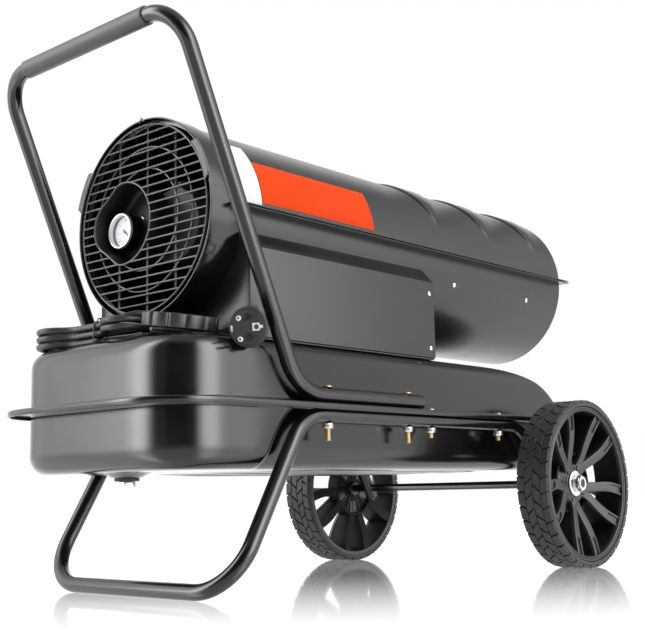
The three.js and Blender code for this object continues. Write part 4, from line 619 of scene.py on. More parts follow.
def build_world():
    """A world that answers the camera, the light and the mirror rays each in their own way."""
    world = bpy.data.worlds.new("studio")
    scene.world = world
    world.use_nodes = True
    tree = world.node_tree
    tree.nodes.clear()
    link = tree.links.new
    out = add(tree, "ShaderNodeOutputWorld")
    room = add(tree, "ShaderNodeBackground", Color=(0.92, 0.94, 1.0, 1), Strength=0.35)
    white = add(tree, "ShaderNodeBackground", Color=(1, 1, 1, 1), Strength=1.0)
    mirrored = add(tree, "ShaderNodeBackground")
    paths = add(tree, "ShaderNodeLightPath")
    seen = add(tree, "ShaderNodeMath", operation="MAXIMUM")
    pick_mirror = add(tree, "ShaderNodeMixShader")
    pick_white = add(tree, "ShaderNodeMixShader")
    place = add(tree, "ShaderNodeTexCoord")
    split = add(tree, "ShaderNodeSeparateXYZ")
    compass = add(tree, "ShaderNodeMath", operation="ARCTAN2")
    along = add(tree, "ShaderNodeMapRange", From_Min=-math.pi, From_Max=math.pi)
    ring = add(tree, "ShaderNodeValToRGB")
    ramp = ring.color_ramp
    ramp.interpolation = "LINEAR"
    ramp.elements.remove(ramp.elements[1])
    for i, (bearing, level) in enumerate(ROOM):
        share = (bearing + 180) / 360
        stop = ramp.elements[0] if i == 0 else ramp.elements.new(share)
        stop.position = share
        stop.color = (level / ROOM_PEAK, level / ROOM_PEAK, level / ROOM_PEAK, 1)
    scaled = add(tree, "ShaderNodeMath", operation="MULTIPLY")
    scaled.inputs[1].default_value = ROOM_PEAK
    height = add(tree, "ShaderNodeMapRange", From_Min=0.6, From_Max=0.92)
    ceiling = add(tree, "ShaderNodeMix")
    ceiling.inputs["B"].default_value = 1.1
    link(place.outputs["Generated"], split.inputs[0])
    link(split.outputs["Y"], compass.inputs[0])
    link(split.outputs["X"], compass.inputs[1])
    link(compass.outputs[0], along.inputs["Value"])
    link(along.outputs[0], ring.inputs[0])
    link(ring.outputs["Color"], scaled.inputs[0])
    link(split.outputs["Z"], height.inputs["Value"])
    link(height.outputs[0], ceiling.inputs["Factor"])
    link(scaled.outputs[0], ceiling.inputs["A"])
    link(ceiling.outputs["Result"], mirrored.inputs["Strength"])
    link(paths.outputs["Is Glossy Ray"], pick_mirror.inputs[0])
    link(room.outputs[0], pick_mirror.inputs[1])
    link(mirrored.outputs[0], pick_mirror.inputs[2])
    link(paths.outputs["Is Camera Ray"], seen.inputs[0])
    link(paths.outputs["Is Transmission Ray"], seen.inputs[1])
    link(seen.outputs[0], pick_white.inputs[0])
    link(pick_mirror.outputs[0], pick_white.inputs[1])
    link(white.outputs[0], pick_white.inputs[2])
    link(pick_white.outputs[0], out.inputs["Surface"])


def lamp(name, place, target, width, height, power):
    """A rectangular soft box aimed at a point; it lights, and the room's ring does the mirroring."""
    data = bpy.data.lights.new(name, "AREA")
    data.shape = "RECTANGLE"
    data.size = width
    data.size_y = height
    data.energy = power
    box = bpy.data.objects.new(name, data)
    scene.collection.objects.link(box)
    box.location = place
    box.rotation_euler = (Vector(target) - Vector(place)).to_track_quat("-Z", "Y").to_euler()
    box.visible_glossy = False
    return box


build_world()
lamp("key_box", (-1.5, -1.2, 2.1), (0.0, 0.0, 0.3), 1.6, 1.1, 34)
lamp("side_box", (1.7, -1.9, 1.2), (0.1, 0.0, 0.3), 1.3, 1.3, 22)
lamp("top_box", (0.3, 0.8, 2.3), (0.0, 0.0, 0.3), 2.0, 0.9, 26)

# %% [markdown]
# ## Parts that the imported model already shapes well
# Brackets, covers, controls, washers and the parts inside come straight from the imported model. Its
# meshes are loose triangles, so a Weld joins them, a small Bevel rounds the edges and the rest is
# shaded smooth. The other nodes are replaced further down by finer pieces that have their place.

# %% Dressing the model's own nodes
EDGE_MM = 0.3
SHARP_ANGLE = math.radians(30)


def dress(node, material):
    """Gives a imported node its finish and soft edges."""
    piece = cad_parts[node]
    piece.data.materials.clear()
    piece.data.materials.append(material)
    for face in piece.data.polygons:
        face.use_smooth = True
    weld = piece.modifiers.new("weld", "WELD")
    weld.merge_threshold = 0.00002
    soften = piece.modifiers.new("soft_edges", "BEVEL")
    soften.width = EDGE_MM * MM
    soften.segments = 2
    soften.limit_method = "ANGLE"
    soften.angle_limit = SHARP_ANGLE
    soften.harden_normals = False
    split = piece.modifiers.new("crisp_corners", "EDGE_SPLIT")
    split.split_angle = SHARP_ANGLE


NODE_FINISHES = {
    GLOSS_BLACK: ["motor_bracket"],
    CONSOLE_BLACK: ["console_box", "side_cover_near", "side_cover_far"],
    # The filler neck takes the painted-shade copy of the moulded plastic, which darkens it and dims its
    # glare.
    SHADED: ["filler_neck"],
    MOULDED: ["fuel_strainer", "thermostat_knob"],
    PRINT_AND_SHADE_BLACK: ["gauge_needle"],
    RED_LENS: ["rocker_switch", "power_lamp"],
    GASKET: ["cap_seal", "drain_washer"],
    ZINC: ["drain_plug", "axle_washer_near", "axle_washer_far", "axle_nut_near", "axle_nut_far"],
    SHEET_STEEL: [
        "fuel_pickup", "motor_shaft", "burner_head", "nozzle", "combustion_chamber", "outlet_cone",
        "fuel_line",
    ],
    CAST: ["motor"],
    PUMP_ALLOY: ["air_pump"],
    FAN_ALLOY: ["fan"],
    BOARD: ["circuit_board"],
}
for finish, names in NODE_FINISHES.items():
    for name in names:
        dress(name, finish)
print("dressed", sum(len(names) for names in NODE_FINISHES.values()), "of", len(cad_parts), "nodes")

# %% [markdown]
# ## The fuel tank
# The tank is two deep-drawn halves welded at a flange. Its front is a broad lobe, its sides draw in
# where the carriage tubes run, and the rear of the upper half slopes down like a boat's stern. Each
# half is a skin through level outlines: a circle of edges is extruded once per level, and each new
# loop is laid on the outline of that level, so the pressed curves stay smooth.

# %% Tank outlines
TANK_MIDDLE = 181
TANK_FRONT, TANK_REAR = -348, 347
TANK_HEIGHT = 63
TANK_ROUND = 18
STERN = 145
TANK_LOBE, TANK_BACK = 137, 127
FRONT_CORNER, REAR_CORNER = 59, 50
WAIST_START, WAIST_SWEEP, WAIST_LENGTH = -185, 54, 14
FLANGE = {"front": 24, "side": 13, "rear": 10, "corner": 11}
STEEL = 1.5
DRAIN_X = -301


def corner_arc(steps):
    """The angles of a quarter turn, in even steps."""
    return [QUARTER * k / steps for k in range(steps + 1)]


CORNER_STEPS = 20


def eased_corner(reach):
    """A pressed corner: its bend starts gently, so the mirror bands on it have soft, even edges.

    It is a cubic superellipse, drawn larger so that it passes where an arc of that reach would.
    """
    size = reach * 1.424
    power = 2 / 3.0
    points = []
    for k in range(CORNER_STEPS + 1):
        share = k / CORNER_STEPS
        a = QUARTER * share ** 1.2 if share < 0.5 else QUARTER * (1 - (1 - share) ** 1.2)
        points.append((size * (1 - math.cos(a) ** power), size * (1 - math.sin(a) ** power)))
    return points


def tank_outline(height, front, lobe, narrow, front_corner, rear_corner, rear, waist):
    """One level of the tank, seen from above. Every level has the same number of points."""
    half = [(front, 0)]
    half += [(front + x, lobe - y) for x, y in eased_corner(front_corner)]
    for k in range(11):
        share = k / 10
        ease = share * share * (3 - 2 * share)
        half.append((waist - WAIST_LENGTH * (1 - share), lobe + (narrow - lobe) * ease))
    half += [
        (rear - rear_corner * (1 - math.sin(a)), narrow - rear_corner * (1 - math.cos(a)))
        for a in corner_arc(12)
    ]
    half.append((rear, 0))
    return [(x, y, height) for x, y in half] + [(x, -y, height) for x, y in half[-2:0:-1]]


def body_level(side, rise, inset, stern, reach):
    """The body's outline at a rise above or below the flange, drawn in by an inset."""
    climb = min(rise / reach, 1)
    rear = TANK_REAR - STERN * (1 - math.sqrt(1 - climb * climb)) if stern else TANK_REAR
    waist = WAIST_START - WAIST_SWEEP * math.sqrt(max(rise, 0) / TANK_HEIGHT)
    return tank_outline(
        TANK_MIDDLE + side * rise, TANK_FRONT + inset, TANK_LOBE - inset, TANK_BACK - inset,
        FRONT_CORNER - inset, REAR_CORNER, rear - inset, waist,
    )


def flange_level(height, spread):
    """The outline of the flange at a height, grown outwards by some mm."""
    side = TANK_LOBE + FLANGE["side"] + spread
    return tank_outline(
        height, TANK_FRONT - FLANGE["front"] - spread, side, side,
        FRONT_CORNER + FLANGE["corner"] + spread, REAR_CORNER + FLANGE["corner"] + spread,
        TANK_REAR + FLANGE["rear"] + spread, WAIST_START,
    )


def body_rings(side, skin_in, stern):
    """Levels from the flat face to the flange: first the pressed edge, then the wall."""
    reach = TANK_HEIGHT
    rings = []
    edge = TANK_ROUND - skin_in
    for k in range(9):
        angle = QUARTER * (1 - k / 8)
        inset = edge * (1 - math.cos(angle)) + skin_in
        rings.append(body_level(side, reach - skin_in - edge * (1 - math.sin(angle)), inset, stern, reach))
    for k in range(1, 9):
        rise = (reach - TANK_ROUND) * (1 - k / 9)
        rings.append(body_level(side, rise, skin_in, stern, reach))
    fillet = 3.0
    for k in range(5):
        angle = QUARTER * k / 4
        out = -fillet * (1 - math.cos(angle)) + skin_in
        rings.append(body_level(side, 0.2 + STEEL + fillet * (1 - math.sin(angle)), out, stern, reach))
    return rings


def tank_half(side, stern, hem):
    """Outer skin, flange and inner skin of one half, as one closed surface."""
    outer = body_rings(side, 0, stern)
    inner = body_rings(side, STEEL, stern)
    face = TANK_MIDDLE + side * (0.15 + STEEL)
    join = TANK_MIDDLE + side * 0.15
    rings = list(outer)
    if hem:
        low = TANK_MIDDLE - side * 4.6
        rings += [flange_level(face, -2.2), flange_level(face, -1.2), flange_level(face - side * 0.35, -0.4)]
        rings += [
            flange_level(face - side * 1.3, 0), flange_level(low + side * 0.4, 0), flange_level(low, -0.4),
        ]
        rings += [flange_level(low, -1.1), flange_level(low + side * 0.3, -STEEL), flange_level(join, -STEEL)]
    else:
        rings += [flange_level(face, -3.2), flange_level(face - side * 0.3, -2.2), flange_level(join, -1.9)]
    rings.append(flange_level(join, -FLANGE["side"] + 4.0))
    bm = bmesh.new()
    skin(bm, rings + inner[::-1])
    return bm


# %% Tank halves
RIB_PITCH, RIB_FROM, RIB_LENGTH, RIB_HALF, RIB_HEIGHT = 70, -212, 418, 8, 2.5
RIB_FACE, RIB_BACK = 118.2, 118.9


def build_tank():
    """The upper half with its hem, and the lower half with its ribs and drain boss."""
    keep(
        tank_half(1, True, True), "tank_top_half", GLOSS_BLACK, replaced=["tank_upper"],
        sharp=50,
    )
    bm = tank_half(-1, False, False)
    for y in (-RIB_PITCH, 0, RIB_PITCH):
        rows = []
        for k in range(25):
            share = k / 24
            x = RIB_FROM + RIB_LENGTH * share
            rise = RIB_HEIGHT * min(1, 6 * share, 6 * (1 - share)) ** 0.6
            rows.append([
                (x, y + half * RIB_HALF, RIB_FACE - rise * (0.5 + 0.5 * math.cos(half * math.pi)))
                for half in (-1, -0.75, -0.5, -0.25, 0, 0.25, 0.5, 0.75, 1)
            ] + [(x, y + RIB_HALF, RIB_BACK), (x, y - RIB_HALF, RIB_BACK)])
        skin(bm, rows)
    turned(
        bm,
        [
            (6.3, 114.4), (6.3, 113.2), (13.5, 113.2), (15.5, 113.6), (20, 116.4), (25.5, 118.1),
            (25.5, 118.8),
        ],
        48, Matrix.Translation((DRAIN_X * MM, 0, 0)),
    )
    keep(bm, "tank_bottom_half", GLOSS_BLACK, replaced=["tank_lower"], sharp=50)


build_tank()

# %% [markdown]
# ## The shell
# Two rolled halves meet in a flange along each side and are bolted together. Three bands are
# pressed outwards in the upper half: wide on top and running out to a point above each flange.

# %% Shell halves
AXIS_HEIGHT = 375.4
SHELL_RADIUS = 102.8
SHELL_WALL = 1.2
SHELL_FRONT, SHELL_REAR = -261, 372
LIP = 15.2
SHEET_GAP = 0.625
SHELL_STEPS = 56
SHELL_RING = 2 * (SHELL_STEPS + 1) + 8
BAND_FIRST, BAND_PITCH, BAND_HALF, BAND_RISE = 100, 112, 29, 2.6
BAND_EDGE = ((0.8, 1), (0.85, 0.88), (0.9, 0.5), (0.95, 0.12), (1, 0))


def half_section(side, place, raised):
    """One cross-section of a shell half with its two flange lips; both take the angle from the flange."""
    outer, inner = [], []
    for k in range(SHELL_STEPS + 1):
        start = math.asin((SHEET_GAP + SHELL_WALL) / SHELL_RADIUS)
        a = start + (math.pi - 2 * start) * k / SHELL_STEPS
        radius = SHELL_RADIUS + raised(a)
        outer.append((place(a), radius * math.cos(a), AXIS_HEIGHT + side * radius * math.sin(a)))
        start = math.asin(SHEET_GAP / (SHELL_RADIUS - SHELL_WALL))
        b = start + (math.pi - 2 * start) * k / SHELL_STEPS
        radius -= SHELL_WALL
        inner.append((place(a), radius * math.cos(b), AXIS_HEIGHT + side * radius * math.sin(b)))
    lip = SHELL_RADIUS + LIP
    low, high = AXIS_HEIGHT + side * SHEET_GAP, AXIS_HEIGHT + side * (SHEET_GAP + SHELL_WALL)
    end = place(0)
    near = [
        (end, lip - 0.3, low), (end, lip, low + side * 0.4), (end, lip, high - side * 0.4),
        (end, lip - 0.3, high),
    ]
    far = [(end, -y, z) for _, y, z in near[::-1]]
    return near + outer + far + inner[::-1]


def close_end(bm, ring):
    """Closes an end of a shell half: quads across the sheet's thickness, and the two lips."""
    far_lip = 4 + SHELL_STEPS + 1
    outer, inner = ring[4:far_lip], ring[far_lip + 4:][::-1]
    for k in range(SHELL_STEPS):
        bm.faces.new((outer[k], outer[k + 1], inner[k + 1], inner[k]))
    bm.faces.new(ring[:4] + [outer[0], inner[0]])
    bm.faces.new(ring[far_lip:far_lip + 4] + [inner[-1], outer[-1]])


def shell_half(rings, name, node):
    """One half of the shell from its cross-sections, closed at both ends."""
    bm = bmesh.new()
    made = skin(bm, rings, start_cap=False, end_cap=False)
    close_end(bm, made[:SHELL_RING])
    close_end(bm, made[-SHELL_RING:])
    keep(bm, name, SHELL_BLACK, replaced=[node], sharp=28)


def band_width(angle):
    """How wide a band is at an angle from the flange: 1 on top, nothing low on the sides."""
    start = math.radians(23)
    share = (angle - start) / (math.pi - 2 * start)
    return math.sin(share * math.pi) if 0 < share < 1 else 0.0


def build_shell():
    """The banded upper half and the plain lower one."""
    flat = lambda a: 0.0
    plain_run = (SHELL_FRONT, -200, -140, -80, -20, 30)
    upper = [half_section(1, lambda a, x=x: x, flat) for x in plain_run]
    for i in range(3):
        middle = BAND_FIRST + BAND_PITCH * i
        for edge, height in [(-at, rise) for at, rise in BAND_EDGE[::-1]] + list(BAND_EDGE):
            upper.append(half_section(
                1,
                lambda a, edge=edge, middle=middle: middle + edge * BAND_HALF * (0.05 + 0.95 * band_width(a)),
                lambda a, height=height: height * BAND_RISE * min(1, 2 * band_width(a)),
            ))
    upper.append(half_section(1, lambda a: SHELL_REAR, flat))
    shell_half(upper, "shell_top_half", "shell_upper")
    lower = [
        half_section(-1, lambda a, x=x: x, flat) for x in (*plain_run, 90, 150, 210, 270, 330, SHELL_REAR)
    ]
    shell_half(lower, "shell_bottom_half", "shell_lower")


build_shell()

# %% [markdown]
# ## The carriage
# One bent tube makes the handle and another the frame. Both are clamped to the tank flange. A tube
# is a circle swept through arcs, with fourteen steps to each bend so that its highlight runs clean.
# The grip is a thin sleeve that is turned round the handle's crossbar.

# %% Handle, grip, frame and axle
HALF_TRACK = 139.7
TUBE = 8.0
AXLE_X, AXLE_HEIGHT, AXLE_HALF = 238.5, 100, 196.4
HANDLE_FOOT, HANDLE_BEND = -8.3, -204.4
GRIP_X, GRIP_HEIGHT, GRIP_HALF = -358.4, 541.5, 98
FRAME_REAR, FRAME_FRONT, FOOT_X = 195.9, -196.8, -294.5
HANDLE_BENDS, FRAME_BENDS = [52, 41, 41, 52], [50] * 6
BEND_STEPS, TUBE_SIDES = 14, 28


def mirrored(corners):
    """A path's corners, and then the same ones on the other side, back to the start."""
    return corners + [(x, -y, z) for x, y, z in corners[::-1]]


def build_carriage():
    """The handle with its sleeve, then the frame and the axle."""
    flange_top = TANK_MIDDLE + 0.15 + STEEL
    flange_under = TANK_MIDDLE - 0.15 - STEEL
    up = flange_top + 0.3 + TUBE
    down = flange_under - 0.3 - TUBE
    bm = bmesh.new()
    corners = mirrored([
        (HANDLE_FOOT, -HALF_TRACK, up), (HANDLE_BEND, -HALF_TRACK, up), (GRIP_X, -HALF_TRACK, GRIP_HEIGHT),
    ])
    tube(bm, bent(corners, HANDLE_BENDS, BEND_STEPS), TUBE - 0.15, TUBE_SIDES, ends=False)
    open_end = [
        (TUBE - 0.15, 0), (TUBE - 0.5, 0.25), (TUBE - 1.4, 0.1), (TUBE - 1.5, -0.4), (TUBE - 1.5, -13.5),
        (0.1, -13.5),
    ]
    for side in (-1, 1):
        turned(bm, open_end, TUBE_SIDES, facing(HANDLE_FOOT, side * HALF_TRACK, up, (1, 0, 0)))
    keep(bm, "handle_tube", GLOSS_BLACK, replaced=["handle"], sharp=40)
    bm = bmesh.new()
    profile = [
        (TUBE + 0.1, -GRIP_HALF), (TUBE + 0.9, -GRIP_HALF), (TUBE + 1.35, 0.7 - GRIP_HALF),
        (TUBE + 1.45, 2 - GRIP_HALF),
    ]
    turned(bm, profile + [(r, -z) for r, z in profile[::-1]], 40, facing(GRIP_X, 0, GRIP_HEIGHT, (0, 1, 0)))
    keep(bm, "foam_sleeve", SLEEVE, replaced=["handle_grip"])
    bm = bmesh.new()
    foot = TUBE * math.cos(math.pi / 10)
    rise, back = down - AXLE_HEIGHT, AXLE_X - FRAME_REAR
    past = 14 / math.hypot(rise, back)
    corners = mirrored([
        (AXLE_X + back * past, -HALF_TRACK, AXLE_HEIGHT - rise * past), (FRAME_REAR, -HALF_TRACK, down),
        (FRAME_FRONT, -HALF_TRACK, down), (FOOT_X, -HALF_TRACK, foot + 0.2),
    ])
    tube(bm, bent(corners, FRAME_BENDS, BEND_STEPS), TUBE - 0.2, TUBE_SIDES, tip=0.9)
    keep(bm, "frame_tube", GLOSS_BLACK, replaced=["frame"], sharp=40)
    bm = bmesh.new()
    profile = [(0, -AXLE_HALF), (4.4, -AXLE_HALF), (4.9, 0.6 - AXLE_HALF)]
    turned(
        bm, profile + [(r, -z) for r, z in profile[::-1]], TUBE_SIDES,
        facing(AXLE_X, 0, AXLE_HEIGHT, (0, 1, 0)),
    )
    keep(bm, "axle_rod", GLOSS_BLACK, replaced=["axle"])


build_carriage()

# %% [markdown]
# ## Wheels
# A wheel is one moulding: a thin rim, and five pairs of spokes that bow apart from a dished hub.
# Each spoke widens towards the rim and has a long slot there. It is a skin through cross-sections
# along a curve, and the slot is a dip in the middle of those sections. The real spokes are deep
# channels whose insides lie in shade, so a second piece in a near-black copy of the plastic paints
# that shade behind them: on the spokes' webs, the rim's inner wall and the hub's drum.

# %% Wheel rim, hub and spokes
RIM_SEAT = 93.0
SPOKE_PAIRS, SPOKE_START = 5, math.radians(52)
SPOKE_SLOT = (0.60, 0.93)
HUB_FACE, RIM_FACE, WHEEL_BACK, DRUM_RADIUS = 185.0, 203.0, 165.4, 37.5
DRUM_FINS = 14


def smooth_between(points, t):
    """A Catmull-Rom curve through points, at t from 0 to 1."""
    span = len(points) - 1
    i = min(int(t * span), span - 1)
    f = t * span - i
    p = [Vector(points[min(max(i + k, 0), span)]) for k in (-1, 0, 1, 2)]
    return 0.5 * (2 * p[1] + (p[2] - p[0]) * f + (2 * p[0] - 5 * p[1] + 4 * p[2] - p[3]) * f * f
                  + (3 * p[1] - p[0] - 3 * p[2] + p[3]) * f ** 3)


SPOKE_LINE = [(16, 3.2), (30, 5.0), (43, 10.5), (56, 15.6), (70, 18.9), (84, 20.2), (90.0, 20.4)]


def spoke_sections(side, core):
    """The cross-sections of one spoke's face or, as a core, of the dark web behind it."""
    sections = []
    slot_from, slot_to = SPOKE_SLOT
    stops = [k / 15 for k in range(16)]
    for edge in (slot_from, slot_to):
        stops += [edge - 0.004, edge + 0.004]
    stops += [slot_from + 0.02, slot_to - 0.02]
    for t in sorted(stops):
        at = smooth_between(SPOKE_LINE, t)
        ahead = smooth_between(SPOKE_LINE, min(t + 0.02, 1)) - smooth_between(SPOKE_LINE, max(t - 0.02, 0))
        across = Vector((-ahead.y, ahead.x)).normalized()
        half = 5.5 + 1.1 * min(1, max(0, (t - 0.2) / 0.5)) - (0.5 if core else 0)
        radius = at.length
        if core and radius < DRUM_RADIUS:
            continue
        dish = min(max((radius - 22) / (RIM_SEAT - 22), 0), 1)
        top = HUB_FACE + (RIM_FACE - HUB_FACE) * (1 - (1 - dish) ** 1.25)
        low = WHEEL_BACK if core else top - 4.5
        if core:
            top -= 4.0
        inside = slot_from < t < slot_to
        round_off = min(1, (t - slot_from + 0.006) / 0.024, (slot_to - t + 0.006) / 0.024) if inside else 0.5
        slit = 3.7 * max(0.55, round_off)
        lip, dip = (top - 0.2, top - 1.8) if inside and not core else (top, top)
        flank = [
            (half, low), (half, top - 0.9), (half - 0.35, top - 0.25), (half - 1.0, top),
            (slit + 0.25, top), (slit, lip), (slit - 0.3, dip),
        ]
        row = []
        for offset, height in [(-x, z) for x, z in flank] + flank[::-1]:
            spot = at + across * offset
            row.append((spot.x, side * spot.y, height))
        sections.append(row)
    return sections


def lay_spokes(bm, core=False):
    """All the spokes of a wheel: pairs that bow apart, turned round the hub."""
    for k in range(SPOKE_PAIRS):
        turn = Matrix.Rotation(SPOKE_START + TURN * k / SPOKE_PAIRS, 4, "Z")
        for hand in (-1, 1):
            bmesh.ops.transform(bm, matrix=turn, verts=skin(bm, spoke_sections(hand, core)))


def wheel_place(side):
    """A wheel is drawn with its axle along Z and its back low; this stands it up on one side."""
    turn = Matrix.Rotation(QUARTER, 4, "X")
    if side > 0:
        turn = Matrix.Rotation(math.pi, 4, "Z") @ turn
    return Matrix.Translation((AXLE_X * MM, 0, AXLE_HEIGHT * MM)) @ turn


def build_wheel(side, word):
    """A wheel's rim, hub, spokes and the dark piece behind them."""
    bm = bmesh.new()
    rim = [
        (92.6, 165.1), (92.6, 203.9), (92.2, 204.6), (91.3, 204.9), (90.4, 204.5), (90.0, 203.6),
        (89.3, 203.3), (88.9, 203.8), (88.1, 204.2), (87.3, 203.9), (86.9, 203.2), (86.6, 200.0),
        (86.2, 186), (87.4, 166.0), (88.2, 165.1), (92.6, 165.1),
    ]
    turned(bm, rim, 96)
    hub = [
        (5.3, 165.0), (8.5, 165.0), (9.5, 165.6), (10.5, 172.0), (33.0, 172.0), (33.2, 168.6),
        (34.0, 168.0), (35.0, 168.6), (35.0, 175.2), (34.0, 176.0), (26.0, 180.0), (23.4, 184.2),
        (22.4, 185.0), (19.6, 185.0), (18.9, 184.6), (18.6, 183.9), (17.9, 183.9), (17.6, 184.6),
        (16.8, 185.0), (5.3, 185.0), (5.3, 165.0),
    ]
    turned(bm, hub, 64)
    lay_spokes(bm)
    crotch = [
        (17, -6.5), (30, -7.5), (38, -11), (36.2, -6), (34.4, 0), (36.2, 6), (38, 11), (30, 7.5), (17, 6.5),
    ]
    for k in range(SPOKE_PAIRS):
        web = slab(bm, crotch, 170.0, 186.4, bevel=0.9)
        turn = Matrix.Rotation(SPOKE_START + TURN * k / SPOKE_PAIRS, 4, "Z")
        bmesh.ops.transform(bm, matrix=turn, verts=web)
    for k in range(DRUM_FINS):
        fin = slab(bm, [(8, -0.4), (33.4, -0.4), (33.4, 0.4), (8, 0.4)], 169.2, 170.0)
        turn = Matrix.Rotation(TURN * (k + 0.5) / DRUM_FINS, 3, "Z")
        bmesh.ops.rotate(bm, cent=(0, 0, 0), matrix=turn, verts=fin)
    bmesh.ops.transform(bm, matrix=wheel_place(side), verts=bm.verts)
    keep(bm, "wheel_moulding_" + word, MOULDED, "wheel_" + word, ["wheel_" + word], sharp=38)
    # The second piece is painted shade: near-black plastic on the rim's inner wall, the drum and the spokes'
    # webs.
    bm = bmesh.new()
    turned(
        bm,
        [
            (86.0, 199.5), (85.4, 186), (86.6, 166.2), (87.0, 166.2), (87.4, 186), (87.0, 199.5),
            (86.0, 199.5),
        ],
        96,
    )
    turned(bm, [(9.6, 170.6), (33.1, 170.6), (33.1, 171.9), (9.6, 171.9), (9.6, 170.6)], 64)
    turned(bm, [(35.2, 166.0), (38.2, 166.0), (38.6, 182.5), (35.2, 182.5), (35.2, 166.0)], 64)
    lay_spokes(bm, core=True)
    bmesh.ops.transform(bm, matrix=wheel_place(side), verts=bm.verts)
    keep(bm, "wheel_inside_" + word, SHADED, "wheel_" + word, sharp=38)


for side, word in ((-1, "near"), (1, "far")):
    build_wheel(side, word)

# %% [markdown]
# ## Tyres
# The tyre is solid rubber with four rows of slanted blocks. One block of each row is made and
# bevelled, and a spin with use_duplicate repeats it round the carcass.

# %% Tyres with their tread blocks
CROWN_RADIUS, TREAD_TOP = 97.1, 99.98


def tread_block(bm, middle, width, length, skew):
    """One block on the crown: a slanted outline in the width and round directions."""
    outline = [
        (-width / 2, -length / 2 - skew), (width / 2, -length / 2 + skew), (width / 2, length / 2 + skew),
        (-width / 2, length / 2 - skew),
    ]
    place = Matrix.Translation((0, 0, middle * MM)) @ Matrix(
        ((0, 0, 1, 0), (0, 1, 0, 0), (-1, 0, 0, 0), (0, 0, 0, 1))
    )
    return slab(bm, outline, CROWN_RADIUS, TREAD_TOP, place, bevel=0.45, segments=1)


TREAD_COUNT = 36
TREAD_ROWS = [
    # middle, width, length, skew, phase
    (170.3, 9.2, 15.2, -1.4, 0.0),
    (180.4, 9.6, 15.2, 3.6, 0.32),
    (190.6, 9.6, 15.2, -3.6, 0.78),
    (200.7, 9.2, 15.2, 1.4, 0.1),
]


def build_tyre(side, word):
    """A tyre's body and its rows of blocks, each row spun round the axle."""
    bm = bmesh.new()
    outer = [
        (93.05, 165.0), (93.05, 205.2), (93.6, 206.0), (95.0, 206.15), (96.6, 205.9), (97.3, 205.0),
        (97.5, 203.0), (97.5, 168.0), (97.3, 166.0), (96.6, 165.1), (95.0, 164.8), (93.6, 164.9),
        (93.05, 165.0),
    ]
    turned(bm, outer, 108)
    for middle, width, length, skew, phase in TREAD_ROWS:
        made = tread_block(bm, middle, width, length, skew)
        faces = list({f for v in made for f in v.link_faces})
        turn = Matrix.Rotation(TURN * phase / TREAD_COUNT, 3, "Z")
        bmesh.ops.rotate(bm, cent=(0, 0, 0), matrix=turn, verts=made)
        geom = made + faces + list({e for f in faces for e in f.edges})
        bmesh.ops.spin(
            bm, geom=geom, cent=(0, 0, 0), axis=(0, 0, 1), angle=TURN * (TREAD_COUNT - 1) / TREAD_COUNT,
            steps=TREAD_COUNT - 1, use_duplicate=True,
        )
    bmesh.ops.transform(bm, matrix=wheel_place(side), verts=bm.verts)
    keep(bm, "tyre_tread_" + word, TREAD, "wheel_" + word, ["tyre_" + word], sharp=28)


for side, word in ((-1, "near"), (1, "far")):
    build_tyre(side, word)

# %% [markdown]
# ## The mains lead
# The lead is one cord: from the gland under the intake it drops to the tank, lies in a tied hank of
# six strands, and runs behind the filler cap to the plug. Its centreline is drawn once, and the tube
# follows it; the line is also kept as LEAD_LINE.

# %% The line of the lead
LEAD_RADIUS = 3.5
HANK_X, TIE_Y = -314.0, 27.0
HANK_LOW, HANK_HIGH, HANK_LAYERS = 248.9, 264.3, 3
NEAR_FOLD, FAR_FOLD = -12.6, 95
GLAND_TIP = (-270.6, -30, 254.4)
TO_HANK = [
    (-277.4, -29.8, 253.9), (-285, -26.5, 251.4), (-295, -19, 248.9), (-302.8, -10, 248.3),
    (-307.6, 0, 248.5), (-309.6, 9, 248.8),
]
TO_PLUG = [
    (-318.2, 12.7, 264.3), (-316.7, 0, 266.6), (-311.5, -12, 270.8), (-302, -21.5, 272.8),
    (-290, -27.5, 270.9), (-279, -33.5, 266), (-269.5, -41, 260.5), (-261.5, -50, 256),
    (-255.5, -60.5, 253), (-252.5, -72, 251.6), (-253, -84, 251.2), (-256.6, -95, 251.1),
]
PLUG_FACE = Vector((-284.4, -152, 246.1))
PLUG_AXIS = Vector((0.908, 0.367, 0.2)).normalized()
PLUG_EXIT = Vector((0.25, 0.965, 0.05)).normalized()
RELIEF_ROOT = PLUG_FACE + PLUG_AXIS * 14
RELIEF_END = RELIEF_ROOT + PLUG_EXIT * 41
FOLD_RADIUS, SWAY_RADIUS, WAIST = 21.0, 28.0, 4.2


def fold_points(fold_at, direction, heading, steps):
    """Half a figure of the hank in plan: out along one side, round the fold and back to the tie."""
    lean = math.acos((WAIST + SWAY_RADIUS) / (SWAY_RADIUS + FOLD_RADIUS))
    waist = fold_at - direction * (FOLD_RADIUS + SWAY_RADIUS) * math.sin(lean)
    run, sway = abs(waist - TIE_Y), SWAY_RADIUS * lean
    total = 2 * run + 2 * sway + FOLD_RADIUS * (math.pi + 2 * lean)
    points = []
    for k in range(steps + 1):
        distance = total * k / steps
        first = distance <= total / 2
        d = distance if first else total - distance
        if d <= run:
            across, along = WAIST, TIE_Y + direction * d
        elif d <= run + sway:
            a = (d - run) / SWAY_RADIUS
            across = WAIST + SWAY_RADIUS * (1 - math.cos(a))
            along = waist + direction * SWAY_RADIUS * math.sin(a)
        else:
            a = (d - run - sway) / FOLD_RADIUS - lean
            across, along = FOLD_RADIUS * math.cos(a), fold_at + direction * FOLD_RADIUS * math.sin(a)
        points.append((HANK_X + (heading if first else -heading) * across, along))
    return points


